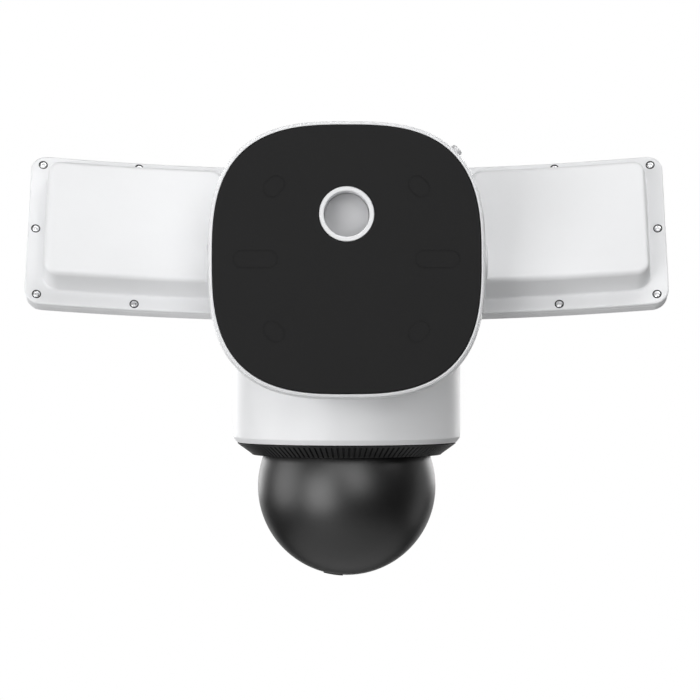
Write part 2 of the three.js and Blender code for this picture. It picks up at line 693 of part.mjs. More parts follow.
// Half of the space round the ball: behind the split for 1, in front of it for -1.
function halfSpace(side) {
  const edge = side > 0 ? -BALL_SPLIT : -BALL_SPLIT - GAP;
  const reach = 60;
  return side > 0 ? block([-reach, edge, -reach], [reach, reach, reach])
    : block([-reach, -reach, -reach], [reach, edge, reach]);
}

function cameraRearShell() {
  const shell = hollowBall().intersect(halfSpace(1));
  const boss = bar(6, BOSS_FROM, BALL_INNER_R + 1, 16);
  const bosses = [-1, 1].map((side) => placed(boss, [0, 0, 0], [0, side * 90, 0]));
  const bore = placed(bar(SHAFT_R + RUNNING, -38, 38, 16), [0, 0, 0], ALONG_X);
  return cut(join(shell, ...bosses), bore, cardPocket(GAP));
}

function cameraFrontShell() {
  return hollowBall().intersect(halfSpace(-1));
}

function cameraFacePlate() {
  const plate = bar(FACE_R, FACE_DEPTH - 1.9, FACE_DEPTH, 32);
  const hole = bar(LENS_R + GAP, 20, 40);
  const holes = [-1, 1].map((side) => placed(hole, [0, side * LENS_Z, 0]));
  return placed(cut(plate, ...holes), [0, 0, 0], TO_FACE);
}

// A hollow barrel that carries its glass in its mouth. `side` is 1 for the upper one.
function lensBarrel(side) {
  const [back, mouth, throat] = [19.6, FACE_DEPTH + 0.4, 2.5];
  const barrel = turned([[throat, back], [LENS_R - 2, back], [LENS_R, 26], [LENS_R, mouth],
    [LENS_R - 1, mouth], [GLASS_SEAT_R, mouth - 3], [GLASS_SEAT_R, mouth - 7], [throat, mouth - 9]], 16);
  return placed(placed(barrel, [0, side * LENS_Z, 0]), [0, 0, 0], TO_FACE);
}

function lensGlass(side) {
  const [radius, back] = [GLASS_SEAT_R - GAP, FACE_DEPTH - 6];
  const glass = turned([[0, back], [radius, back], [radius, back + 2.2], [radius * 0.7, back + 3.6],
    [radius * 0.35, back + 4.3], [0, back + 4.5]], 16);
  return placed(placed(glass, [0, side * LENS_Z, 0]), [0, 0, 0], TO_FACE);
}

function cameraBoard() {
  const [back, front, half] = [17, 18.6, 6];
  const board = bar(27, back, front, 32);
  const sensor = block([-half, -half, front - 0.1], [half, half, front + 0.7]);
  const sensors = [-1, 1].map((side) => placed(sensor, [0, side * LENS_Z, 0]));
  return placed(join(board, ...sensors), [0, 0, 0], TO_FACE);
}

function cardCover() {
  const skin = turned([...arc(BALL_R + 0.4, -90, -60, 4), ...arc(BALL_INNER_R, -60, -90, 3)], 32);
  return skin.intersect(cardPocket(0));
}

function addCamera() {
  const ball = new THREE.Group();
  ball.position.set(0, PAN_Y, BALL_Z);
  floodlight.add(ball);
  addPart(ball, "camera_yoke", cameraYoke(), "black");
  addPart(ball, "tilt_shaft", tiltShaft(), "steel");
  addPart(ball, "tilt_motor", tiltMotor(), "steel");
  addPart(ball, "tilt_pinion", tiltPinion(), "brass");
  addPart(ball, "tilt_gear", tiltGear(), "acetal");
  addPart(ball, "camera_rear_shell", cameraRearShell(), "black");
  addPart(ball, "camera_front_shell", cameraFrontShell(), "black");
  addPart(ball, "camera_face_plate", cameraFacePlate(), "glass");
  addPart(ball, "camera_board", cameraBoard(), "board");
  addPart(ball, "card_cover", cardCover(), "rubber");
  for (const [name, side] of [["upper", 1], ["lower", -1]]) {
    addPart(ball, `${name}_lens_barrel`, lensBarrel(side), "black");
    addPart(ball, `${name}_lens_glass`, lensGlass(side), "glass");
  }
}

// ---- Light heads ----
// A light head's own frame has X along the head, Y against the light's direction and Z up its
// face. Its pieces are made flat, with depths towards the light, and then bent back round a
// vertical line behind the middle of the object.

// How far the head's curve falls back at this distance from the object's middle.
function fallBack(x) {
  return LIGHT_CURVE_R - Math.sqrt(LIGHT_CURVE_R ** 2 - x ** 2);
}

// The part of a polygon on one side of the plane X = limit; `sign` 1 keeps the high side.
function clipped(polygon, limit, sign) {
  const kept = [];
  for (let i = 0; i < polygon.length; i += 1) {
    const [a, b] = [polygon[i], polygon[(i + 1) % polygon.length]];
    const [fromA, fromB] = [sign * (a.x - limit), sign * (b.x - limit)];
    if (fromA >= 0) kept.push(a);
    if (fromA * fromB < 0) kept.push(a.clone().lerp(b, fromA / (fromA - fromB)));
  }
  return kept;
}

// A flat-made solid bent to the head's curve, after its faces are split into strips along X.
function bent(body) {
  const flat = geometryOf(body).toNonIndexed().getAttribute("position");
  const step = (2 * LIGHT_HALF_X) / BEND_STEPS;
  const start = LIGHT_X - LIGHT_HALF_X;
  const positions = [];
  for (let i = 0; i < flat.count; i += 3) {
    const face = [0, 1, 2].map((corner) => new THREE.Vector3().fromBufferAttribute(flat, i + corner));
    for (let strip = 0; strip < BEND_STEPS; strip += 1) {
      const low = strip === 0 ? -Infinity : start + strip * step;
      const high = strip === BEND_STEPS - 1 ? Infinity : start + (strip + 1) * step;
      const above = low === -Infinity ? face : clipped(face, low, 1);
      const part = high === Infinity ? above : clipped(above, high, -1);
      for (let corner = 1; corner < part.length - 1; corner += 1) {
        for (const point of [part[0], part[corner], part[corner + 1]]) {
          positions.push(point.x, point.y + fallBack(point.x), point.z);
        }
      }
    }
  }
  const geometry = new THREE.BufferGeometry();
  geometry.setAttribute("position", new THREE.Float32BufferAttribute(positions, 3));
  return solid(geometry);
}

// A rounded rectangle about the head's centre.
function headOutline(halfX, halfZ, radius = LIGHT_CORNER_R) {
  return rounded(LIGHT_X - halfX, LIGHT_Z - halfZ, LIGHT_X + halfX, LIGHT_Z + halfZ, radius);
}

// The head's full outline, smaller by `inset`.
function rimOutline(inset) {
  return headOutline(LIGHT_HALF_X - inset, LIGHT_HALF_Z - inset, LIGHT_CORNER_R - inset);
}

// A point on the flange's back, in the head's frame, for an offset from its centre.
function onFlange([dx, dz]) {
  const x = LIGHT_X + dx;
  return { place: [x, fallBack(x), LIGHT_Z + dz], slope: Math.asin(x / LIGHT_CURVE_R) };
}

// A turned part along +Z set on the flange so that +Z points away from the light.
function standing(body, offset) {
  const { place, slope } = onFlange(offset);
  return placed(placed(body, [0, 0, 0], [-90, 0, 0]), place, [0, 0, THREE.MathUtils.radToDeg(slope)]);
}

// A round hole at each screw, from a depth to above the flange.
function screwHoles(radius, depth) {
  return Object.values(LIGHT_SCREWS).map((offset) => standing(bar(radius, -depth, 3, 8), offset));
}

// The hinge axis in the head's frame, as [Y, Z].
const pitch = THREE.MathUtils.degToRad(LIGHT_PITCH);
const hingeReach = HINGE_Y - LIGHT_BACK_Y;
const hingeInHead = [hingeReach * Math.cos(pitch), -hingeReach * Math.sin(pitch)];
const FRAME_BACK = FLANGE_THICK + GAP;

// An outline carried straight through the head, from one depth to another.
function headBlock(outline, from, to) {
  return loft([[from, outline], [to, outline]]);
}

// The box on the head's back at one height, drawn in by its draft.
function boxSection([height, inset]) {
  const outline = headOutline(BOX_HALF_X - inset, BOX_HALF_Z - inset, LIGHT_CORNER_R - inset);
  return [-height, outline];
}

// The back shell: a flange, a box for the driver, and half of the hinge.
function lightHousing() {
  const flange = loft([[0, rimOutline(0.6)], [0.6, rimOutline(0)], [FLANGE_THICK, rimOutline(0)]]);
  const foot = [1, headOutline(BOX_HALF_X, BOX_HALF_Z)];
  const box = loft([foot, ...BOX_PROFILE.map(boxSection)].reverse());
  const cavity = loft([[SHELL - BOX_HEIGHT, headOutline(BOX_HALF_X - 4.6, BOX_HALF_Z - 4.6, 4)],
    [FLANGE_THICK + 1, headOutline(BOX_HALF_X - SHELL, BOX_HALF_Z - SHELL, 5)]]);
  const shell = bent(cut(join(flange, box), cavity));
  const onHinge = (body) => placed(body, [0, ...hingeInHead], ALONG_X);
  const knuckle = onHinge(bar(HINGE_R, KNUCKLE_FROM, KNUCKLE_TO));
  const bore = onHinge(bar(PIN_R + RUNNING, KNUCKLE_FROM - 1, KNUCKLE_TO - 1, 16));
  const holes = screwHoles(SCREW_SHANK_R + GAP, FLANGE_THICK + 2);
  const counterbores = screwHoles(COUNTERBORE_R, COUNTERBORE_DEPTH);
  return cut(join(shell, knuckle), bore, ...holes, ...counterbores);
}

// The front rim, with a pocket that the diffuser sits in.
function lightFrame() {
  const rim = loft([[FRAME_BACK, rimOutline(0)], [FRAME_FRONT - 2, rimOutline(0)],
    [FRAME_FRONT - 0.6, rimOutline(0.6)], [FRAME_FRONT, rimOutline(2)]]);
  const through = FRAME_FRONT + 1;
  const opening = headBlock(headOutline(47, 33.5, 5), 0, through);
  const pocketOutline = headOutline(DIFFUSER_HALF_X + GAP, DIFFUSER_HALF_Z + GAP, DIFFUSER_CORNER_R + GAP);
  const pocket = headBlock(pocketOutline, DIFFUSER_BACK - GAP, through);
  return cut(bent(cut(rim, opening, pocket)), ...screwHoles(SCREW_SHANK_R + GAP, 6));
}

function lightSeal() {
  const front = FRAME_BACK + 1.8;
  const ring = headBlock(headOutline(46.6, 33.1, 4.6), FRAME_BACK, front);
  return bent(cut(ring, headBlock(headOutline(45.4, 31, 4), 0, front + 1)));
}

// The lamps' board, with a raised square for each lamp.
function ledBoard() {
  const board = headBlock(headOutline(42.6, 29, 4), -1, 0.6);
  const [columns, rows, pitchX, pitchZ, half] = [4, 2, 22, 26, 2.5];
  const lamps = [];
  for (let column = 0; column < columns; column += 1) {
    for (let row = 0; row < rows; row += 1) {
      const x = LIGHT_X + (column - (columns - 1) / 2) * pitchX;
      const z = LIGHT_Z + (row - (rows - 1) / 2) * pitchZ;
      lamps.push(block([x - half, -1.4, z - half], [x + half, -0.5, z + half]));
    }
  }
  return bent(join(board, ...lamps));
}

function diffuser() {
  const outline = (inset) =>
    headOutline(DIFFUSER_HALF_X - inset, DIFFUSER_HALF_Z - inset, DIFFUSER_CORNER_R);
  const front = FRAME_FRONT + 0.8;
  return bent(loft([[DIFFUSER_BACK, outline(0)], [FRAME_FRONT, outline(0)], [front, outline(1.6)]]));
}

function lightScrew(offset) {
  const edge = SCREW_HEAD_TOP - 0.3;
  return standing(turned([[0, SCREW_TIP], [SCREW_SHANK_R, SCREW_TIP], [SCREW_SHANK_R, SCREW_HEAD_FROM],
    [SCREW_HEAD_R, SCREW_HEAD_FROM], [SCREW_HEAD_R, edge], [0, SCREW_HEAD_TOP]], 8), offset);
}

// The fixed half of the hinge, a foot on the body's side and a sleeve round the pin.
function hingeArm() {
  const [from, to] = [BODY_HALF + GAP, KNUCKLE_FROM - GAP];
  const [bore, foot] = [PIN_R + GAP, HINGE_R + 3];
  const arm = turned([[bore, from], [foot, from], [foot, from + 1.7], [HINGE_R, from + 3.2], [HINGE_R, to],
    [bore, to]], 20);
  return placed(arm, [0, HINGE_Y, 0], ALONG_X);
}

// The pin, held by its head inside the body.
function hingePin() {
  const [head, end] = [BODY_HALF - SHELL - GAP, KNUCKLE_TO - 1.6];
  const pin = turned([[0, head - 2], [PIN_R + 2, head - 2], [PIN_R + 2, head], [PIN_R, head],
    [PIN_R, end], [0, end]], 16);
  return placed(pin, [0, HINGE_Y, 0], ALONG_X);
}

// One light head with its hinge. `side` is 1 on the right and -1 on the left.
function addLight(name, side) {
  const hinge = new THREE.Group();
  hinge.scale.x = side;
  floodlight.add(hinge);
  addPart(hinge, `${name}_hinge_arm`, hingeArm(), "white");
  addPart(hinge, `${name}_hinge_pin`, hingePin(), "steel");
  const head = new THREE.Group();
  head.position.set(0, LIGHT_BACK_Y, 0);
  head.rotation.x = pitch;
  hinge.add(head);
  addPart(head, `${name}_light_housing`, lightHousing(), "white");
  addPart(head, `${name}_light_seal`, lightSeal(), "rubber");
  addPart(head, `${name}_led_board`, ledBoard(), "board");
  addPart(head, `${name}_light_frame`, lightFrame(), "white");
  addPart(head, `${name}_light_diffuser`, diffuser(), "frosted");
  for (const [place, offset] of Object.entries(LIGHT_SCREWS)) {
    addPart(head, `${name}_light_screw_${place}`, lightScrew(offset), "steel");
  }
}

addBase();
addBody();
addDrum();
addCamera();
addLight("right", 1);
addLight("left", -1);

export default floodlight;
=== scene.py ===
"""The looks of the floodlight security camera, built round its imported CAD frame.

Helpers work in millimetres in the part's frame: +Z up, the wall at Y = 0, the front towards -Y.
"Right" and "left" are as seen from the front, so right is +X.
"""

import math

import bmesh
import bpy
from mathutils import Euler, Matrix, Vector


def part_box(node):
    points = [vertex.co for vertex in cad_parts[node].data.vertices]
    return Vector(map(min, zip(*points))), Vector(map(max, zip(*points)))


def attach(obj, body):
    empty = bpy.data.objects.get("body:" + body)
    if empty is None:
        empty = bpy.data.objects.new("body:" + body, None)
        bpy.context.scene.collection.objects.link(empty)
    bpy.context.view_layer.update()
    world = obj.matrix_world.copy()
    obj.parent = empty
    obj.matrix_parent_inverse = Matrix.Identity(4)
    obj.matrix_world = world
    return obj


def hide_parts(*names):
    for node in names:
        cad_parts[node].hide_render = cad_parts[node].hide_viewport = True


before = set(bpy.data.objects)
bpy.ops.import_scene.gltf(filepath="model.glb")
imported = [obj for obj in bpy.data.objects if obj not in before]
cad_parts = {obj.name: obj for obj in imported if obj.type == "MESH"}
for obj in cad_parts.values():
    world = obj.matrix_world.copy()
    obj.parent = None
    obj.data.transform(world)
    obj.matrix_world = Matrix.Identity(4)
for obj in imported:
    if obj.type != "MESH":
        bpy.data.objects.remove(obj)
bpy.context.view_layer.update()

# ---- Dimensions, in millimetres and degrees ----

MM = 0.001
GAP = 0.3  # between pieces that rest on each other
RUNNING = 0.1  # round a shaft in its bore
SHELL = 2.5

# Wall base. Depths are measured from the wall.
SQUIRCLE = 2.88  # superellipse exponent
BASE_DEPTH = 26
BASE_HALF = 68.7
CABLE_OUTER_R = 13.5
CABLE_INNER_R = 11.15
CABLE_BORE_R = 9.5
CABLE_LEDGE = 18.3
WIRE_HOLE_R = 8

# Knock-out slots engraved in the gasket, with their length and width.
LONG_SLOT_X = 44.45
LONG_SLOT_SIZE = (21.4, 8.4)
SHORT_SLOT_R = 50
SHORT_SLOT_SIZE = (11.2, 8.3)
ENGRAVED_WIDTH = 0.8
ENGRAVED_DEPTH = 0.25

# Lock screw. Its places are distances along its axis from the base's middle.
LOCK_SHANK_R = 1.8
LOCK_HEAD_R = 3
LOCK_START = 66
LOCK_SEAT = 75.2
LOCK_HEAD_FROM = 75.4
LOCK_HEAD_TO = 77.7
LOCK_KEY_R = 1.5

# Body, drum and collar.
BODY_SPLIT = 75
BODY_FRONT = 128
BODY_TOP_R = 20
BODY_BOTTOM_R = 5
HUB_HOLE_R = 18
STATUS_R = 3
SENSOR_R = 11.5
BUTTON_R = 4.5
MOTOR_EAR = 13
MOTOR_POST_R = 2.4
MOTOR_POST_LOW = -54.2
SPEAKER_POST_R = 3
SPEAKER_POST_LOW = -69.7
COLLAR_RIBS = 120

# Ball camera. Depths are measured from its centre towards the front or the face.
BALL_R = 46.2
BALL_INNER_R = BALL_R - SHELL
BALL_SPLIT = 8
FACE_PITCH = 22
FACE_DEPTH = 34
FACE_R = 29
LENS_OFFSET = 14
LENS_R = 9
TILT_UP = 25
TILT_DOWN = 35
NECK_HALF_X = 4.5
NECK_HALF_Y = 5
SHAFT_R = 3
BOSS_FROM = 30

# Light heads. Each is curved about a vertical line and pitched to aim at the ground.
HEAD_PITCH = 24.7
HEAD_BACK_Y = -62.9
HEAD_CURVE_R = 874
HEAD_X = 107.2
HEAD_Z = 12.7
HEAD_HALF = (54.7, 42)
HEAD_CORNER_R = 8
FLANGE_THICK = 2.4
FRAME_FRONT = 8.8
BOX_HEIGHT = 16
BOX_HALF = (45.8, 33.8)
DIFFUSER_HALF = (51.2, 38.5)
DIFFUSER_BACK = 6.6
DIFFUSER_FRONT = 9.6
# The screws of a light head, from its centre. The inner two are hidden behind the wall base.
OUTER_SCREWS = {
    "top_corner": (48.6, 36.8),
    "side": (50.7, 0),
    "bottom_corner": (48.6, -36.8),
    "bottom": (0, -38.8),
    "top": (0, 38.8),
}
INNER_SCREWS = {"inner_top": (-48.6, 36.8), "inner_bottom": (-48.6, -36.8)}
SCREW_HEAD_R = 1.85
COUNTERBORE_R = 2.35
COUNTERBORE_DEPTH = 1.1

# Hinge of the light heads, along X.
HINGE_R = 8.9
KNUCKLE_X = (58.5, 70.6)
PIN_R = 3.9

# How finely curves are divided.
ROUND_STEPS = 96
SQUIRCLE_STEPS = 256
SLOT_END_STEPS = 16
RIB_STEPS = 8
BALL_STEPS = 192
CORNER_STEPS = 8
LONG_SIDE_STEPS = 26
SHORT_SIDE_STEPS = 12
CAP_STEPS = 6


def low_high(node):
    """A CAD node's lowest and highest corners at rest, in millimetres."""
    low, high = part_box(node)
    return low / MM, high / MM


def middle(node):
    """The middle of a CAD node's box at rest, in millimetres."""
    low, high = low_high(node)
    return (low + high) / 2


GASKET_HALF = low_high("wall_gasket")[1].x
GASKET_THICK = -low_high("wall_gasket")[0].y
CABLE = middle("cable_bushing")
DRUM = middle("drum_housing")
DRUM_LOW, DRUM_HIGH = low_high("drum_housing")
DRUM_R = DRUM_HIGH.x
BALL = middle("tilt_shaft")
HINGE = middle("right_hinge_pin")
BODY_LOW, BODY_HIGH = low_high("rear_housing")


# ---- Shapes: lists of points in millimetres, and faces ----


def rounded_path(corners, steps=5):
    """A line through the corners (x, y) or (x, y, radius), where a radius rounds the corner."""
    path = []
    count = len(corners)
    for index, corner in enumerate(corners):
        here = Vector(corner[:2])
        radius = corner[2] if len(corner) > 2 else 0
        if not radius:
            path.append(tuple(here))
            continue
        before = (Vector(corners[index - 1][:2]) - here).normalized()
        after = (Vector(corners[(index + 1) % count][:2]) - here).normalized()
        half = before.angle(after) / 2
        centre = here + (before + after).normalized() * (radius / math.sin(half))
        first = here + before * (radius / math.tan(half)) - centre
        last = here + after * (radius / math.tan(half)) - centre
        turn = -first.angle_signed(last)
        start = math.atan2(first.y, first.x)
        for step in range(steps + 1):
            angle = start + turn * step / steps
            path.append((centre.x + radius * math.cos(angle), centre.y + radius * math.sin(angle)))
    return path


def arc(radius, start, end, steps):
    """(radius, height) points on a sphere's outline, with angles in degrees from its equator."""
    angles = [math.radians(start + (end - start) * step / steps) for step in range(steps + 1)]
    return [(radius * math.cos(angle), radius * math.sin(angle)) for angle in angles]


def skin(rings, closed=False):
    """A surface over rings of points. The last ring joins the first if closed, or both are capped."""
    count = len(rings[0])
    last = len(rings) - 1
    pairs = [(low, low + 1) for low in range(last)]
    if closed:
        pairs.append((last, 0))
    faces = []
    for low, high in pairs:
        for i in range(count):
            j = (i + 1) % count
            faces.append((low * count + i, low * count + j, high * count + j, high * count + i))
    if not closed:
        faces.append(tuple(range(count)))
        faces.append(tuple(last * count + i for i in range(count)))
    return [point for ring in rings for point in ring], faces


def lathe(profile, segments=ROUND_STEPS, closed=False):
    """A profile of (radius, height) turned about the Z axis."""
    turns = [math.tau * i / segments for i in range(segments)]
    rings = [[(r * math.cos(t), r * math.sin(t), h) for t in turns] for r, h in profile]
    return skin(rings, closed)


def bar(radius, low, high, segments=ROUND_STEPS):
    """A plain round bar along Z."""
    return lathe([(radius, low), (radius, high)], segments)


def prism(outline, low, high):
    """A flat outline of (x, y) points raised along Z."""
    return skin([[(x, y, z) for x, y in outline] for z in (low, high)])


def moved(shape, matrix):
    """A shape with its points put through a matrix."""
    points, faces = shape
    return [tuple(matrix @ Vector(point)) for point in points], faces


def joined(*shapes):
    """Several separate shapes as one."""
    points, faces = [], []
    for more_points, more_faces in shapes:
        start = len(points)
        points.extend(more_points)
        faces.extend(tuple(start + i for i in face) for face in more_faces)
    return points, faces


def at(x, y, z, turn=(0, 0, 0)):
    """A place, with a turn about X, Y and Z in degrees."""
    rotation = Euler([math.radians(angle) for angle in turn]).to_matrix().to_4x4()
    return Matrix.Translation((x, y, z)) @ rotation


# Turns for a shape made along +Z.
TO_FRONT = (90, 0, 0)
TO_REAR = (-90, 0, 0)
ALONG_X = (0, 90, 0)
TO_FACE = (90 + FACE_PITCH, 0, 0)


def squircle_ring(half, depth):
    """The wall base's outline, with that half width, at a depth from the wall."""
    ring = []
    for i in range(SQUIRCLE_STEPS):
        angle = math.tau * i / SQUIRCLE_STEPS
        x, z = math.cos(angle), math.sin(angle)
        reach = half / (abs(x) ** SQUIRCLE + abs(z) ** SQUIRCLE) ** (1 / SQUIRCLE)
        ring.append((x * reach, -depth, z * reach))
    return ring


def stadium(length, width):
    """The outline of a slot with round ends, along X."""
    radius = width / 2
    outline = []
    for side in (1, -1):
        for step in range(SLOT_END_STEPS + 1):
            angle = math.radians(-90 + 180 * step / SLOT_END_STEPS)
            x = length / 2 - radius + radius * math.cos(angle)
            outline.append((side * x, side * radius * math.sin(angle)))
    return outline


def rectangle(low, high, bottom_radius, top_radius, steps):
    """A rounded rectangle's outline between two corners."""
    corners = [(high[0], low[1], bottom_radius), (high[0], high[1], top_radius),
               (low[0], high[1], top_radius), (low[0], low[1], bottom_radius)]
    return rounded_path(corners, steps=steps)


def polygon(radius, count):
    """A regular polygon's outline."""
    turns = [math.tau * i / count for i in range(count)]
    return [(radius * math.cos(turn), radius * math.sin(turn)) for turn in turns]


# ---- Pieces ----


def mesh_object(name, shape):
    """A raw object of a shape, closed and with its faces pointing out, in metres."""
    points, faces = shape
    mesh = bpy.data.meshes.new(name)
    mesh.from_pydata([tuple(value * MM for value in point) for point in points], [], faces)
    work = bmesh.new()
    work.from_mesh(mesh)
    bmesh.ops.remove_doubles(work, verts=work.verts, dist=1e-3 * MM)
    bmesh.ops.recalc_face_normals(work, faces=work.faces)
    work.to_mesh(mesh)
    work.free()
    obj = bpy.data.objects.new(name, mesh)
    bpy.context.scene.collection.objects.link(obj)
    return obj


def combine(obj, shape, operation="DIFFERENCE"):
    """Cuts a shape out of an object, or joins it on."""
    tool = mesh_object("tool", shape)
    modifier = obj.modifiers.new("combine", "BOOLEAN")
    modifier.operation = operation
    modifier.solver = "EXACT"
    modifier.object = tool
    graph = bpy.context.evaluated_depsgraph_get()
    made = bpy.data.meshes.new_from_object(obj.evaluated_get(graph))
    obj.modifiers.clear()
    old = obj.data
    obj.data = made
    made.name = obj.name
    tool_mesh = tool.data
    bpy.data.objects.remove(tool)
    bpy.data.meshes.remove(old)
    bpy.data.meshes.remove(tool_mesh)
    return obj


def finished(obj, body, material, nodes=(), sharp=32):
    """Smooths an object and makes it a piece that rides on a body."""
    mesh = obj.data
    work = bmesh.new()
    work.from_mesh(mesh)
    bmesh.ops.dissolve_degenerate(work, dist=1e-4 * MM, edges=work.edges)
    work.to_mesh(mesh)
    work.free()
    for polygon in mesh.polygons:
        polygon.use_smooth = True
    mesh.set_sharp_from_angle(angle=math.radians(sharp))
    normals = obj.modifiers.new("normals", "WEIGHTED_NORMAL")
    normals.keep_sharp = True
    mesh.materials.clear()
    mesh.materials.append(material)
    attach(obj, body)
    if nodes:
        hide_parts(*nodes)
    return obj


def add_piece(name, shape, body, material, nodes=(), sharp=32):
    """A shape as a finished piece."""
    return finished(mesh_object(name, shape), body, material, nodes, sharp)


# ---- Materials ----


def node_material(name):
    """A new material with its node tree, its shader and the object's own coordinates."""
    material = bpy.data.materials.new(name)
    material.use_nodes = True
    tree = material.node_tree
    shader = tree.nodes["Principled BSDF"]
    coords = tree.nodes.new("ShaderNodeTexCoord")
    return material, tree, shader, coords.outputs["Object"]


def noise(tree, coords, scale, detail=3.0, stretch=(1, 1, 1)):
    """A noise pattern, with its scale in cycles per metre."""
    mapping = tree.nodes.new("ShaderNodeMapping")
    mapping.inputs["Scale"].default_value = stretch
    tree.links.new(coords, mapping.inputs["Vector"])
    pattern = tree.nodes.new("ShaderNodeTexNoise")
    pattern.inputs["Scale"].default_value = scale
    pattern.inputs["Detail"].default_value = detail
    tree.links.new(mapping.outputs["Vector"], pattern.inputs["Vector"])
    return pattern.outputs["Fac"]


def remapped(tree, value, low, high):
    """A pattern's middle range as a number between low and high."""
    node = tree.nodes.new("ShaderNodeMapRange")
    node.inputs["From Min"].default_value = 0.3
    node.inputs["From Max"].default_value = 0.7
    node.inputs["To Min"].default_value = low
    node.inputs["To Max"].default_value = high
    tree.links.new(value, node.inputs["Value"])
    return node.outputs["Result"]


def blended(tree, value, first, second):
    """A pattern as a colour between two colours."""
    node = tree.nodes.new("ShaderNodeMix")
    node.data_type = "RGBA"
    node.inputs["A"].default_value = (*first, 1)
    node.inputs["B"].default_value = (*second, 1)
    tree.links.new(remapped(tree, value, 0, 1), node.inputs["Factor"])
    return node.outputs["Result"]


def bumped(tree, value, height):
    """A pattern as a bump of that height in millimetres."""
    node = tree.nodes.new("ShaderNodeBump")
    node.inputs["Strength"].default_value = 1
    node.inputs["Distance"].default_value = height * MM
    tree.links.new(value, node.inputs["Height"])
    return node.outputs["Normal"]


def textured(name, color, vary, roughness, spread, grain, height, settings=(), stretch=(1, 1, 1)):
    """A material with a mottled colour, an uneven gloss and a fine moulded or brushed texture.

    The colour varies by the share `vary` and the roughness by `spread`. The texture has `grain`
    cycles a metre and is `height` millimetres high.
    """
    material, tree, shader, coords = node_material(name)
    cloudy = noise(tree, coords, 45.0)
    darker = tuple(value * (1 - vary) for value in color)
    lighter = tuple(min(value * (1 + vary), 1) for value in color)
    tree.links.new(blended(tree, cloudy, darker, lighter), shader.inputs["Base Color"])
    fine = noise(tree, coords, grain, 4.0, stretch)
    gloss = remapped(tree, fine, roughness - spread, roughness + spread)
    tree.links.new(gloss, shader.inputs["Roughness"])
    tree.links.new(bumped(tree, fine, height), shader.inputs["Normal"])
    for socket, value in settings:
        shader.inputs[socket].default_value = value
    return material


def white_plastic():
    return textured("white_plastic", (0.86, 0.865, 0.875), 0.006, 0.42, 0.04, 1800, 0.006)


def seal_grey():
    return textured("seal_grey", (0.60, 0.60, 0.61), 0.02, 0.62, 0.06, 1500, 0.01)


def gasket_rubber():
    return textured("gasket_rubber", (0.0068, 0.0068, 0.0071), 0.05, 0.60, 0.06, 2200, 0.02,
                    [("Specular IOR Level", 0.24)])


def seal_rubber():
    return textured("seal_rubber", (0.018, 0.018, 0.019), 0.08, 0.7, 0.06, 1600, 0.02)


def black_plastic():
    return textured("black_plastic", (0.002, 0.002, 0.0022), 0.06, 0.41, 0.04, 2600, 0.006,
                    [("Specular IOR Level", 1.0), ("IOR", 1.53)])


def collar_plastic():
    return textured("collar_plastic", (0.005, 0.005, 0.0054), 0.06, 0.42, 0.05, 2600, 0.006)


def plate_plastic():
    return textured("plate_plastic", (0.03, 0.03, 0.032), 0.08, 0.5, 0.06, 1400, 0.012)


def grey_plastic():
    return textured("grey_plastic", (0.52, 0.53, 0.54), 0.02, 0.45, 0.05, 1500, 0.01)


def steel():
    return textured("steel", (0.86, 0.86, 0.87), 0.04, 0.24, 0.06, 900, 0.003,
                    [("Metallic", 1.0)], (1, 1, 12))


def zinc():
    return textured("zinc", (0.80, 0.80, 0.81), 0.04, 0.55, 0.06, 900, 0.003, [("Metallic", 0.35)])


def brass():
    return textured("brass", (0.78, 0.57, 0.25), 0.06, 0.32, 0.06, 900, 0.003,
                    [("Metallic", 1.0)], (12, 1, 1))


def gear_plastic():
    return textured("gear_plastic", (0.82, 0.80, 0.74), 0.02, 0.45, 0.05, 900, 0.006)


def circuit_board():
    """Green solder mask with copper tracks showing through in straight runs."""
    material, tree, shader, coords = node_material("circuit_board")
    tracks = tree.nodes.new("ShaderNodeTexBrick")
    tracks.inputs["Color1"].default_value = (0.012, 0.12, 0.045, 1)
    tracks.inputs["Color2"].default_value = (0.016, 0.15, 0.055, 1)
    tracks.inputs["Mortar"].default_value = (0.03, 0.24, 0.09, 1)
    tracks.inputs["Scale"].default_value = 160
    tracks.inputs["Mortar Size"].default_value = 0.06
    tree.links.new(coords, tracks.inputs["Vector"])
    tree.links.new(tracks.outputs["Color"], shader.inputs["Base Color"])
    fine = noise(tree, coords, 1200)
    tree.links.new(remapped(tree, fine, 0.3, 0.45), shader.inputs["Roughness"])
    tree.links.new(bumped(tree, tracks.outputs["Fac"], 0.03), shader.inputs["Normal"])
    return material


def led_board():
    """White solder mask with yellow phosphor speckle."""
    material, tree, shader, coords = node_material("led_board")
    cells = tree.nodes.new("ShaderNodeTexVoronoi")
    cells.inputs["Scale"].default_value = 260
    tree.links.new(coords, cells.inputs["Vector"])
    tint = blended(tree, cells.outputs["Distance"], (0.80, 0.80, 0.76), (0.86, 0.86, 0.85))
    tree.links.new(tint, shader.inputs["Base Color"])
    fine = noise(tree, coords, 1200)
    tree.links.new(remapped(tree, fine, 0.35, 0.5), shader.inputs["Roughness"])
    tree.links.new(bumped(tree, cells.outputs["Distance"], 0.02), shader.inputs["Normal"])
    return material


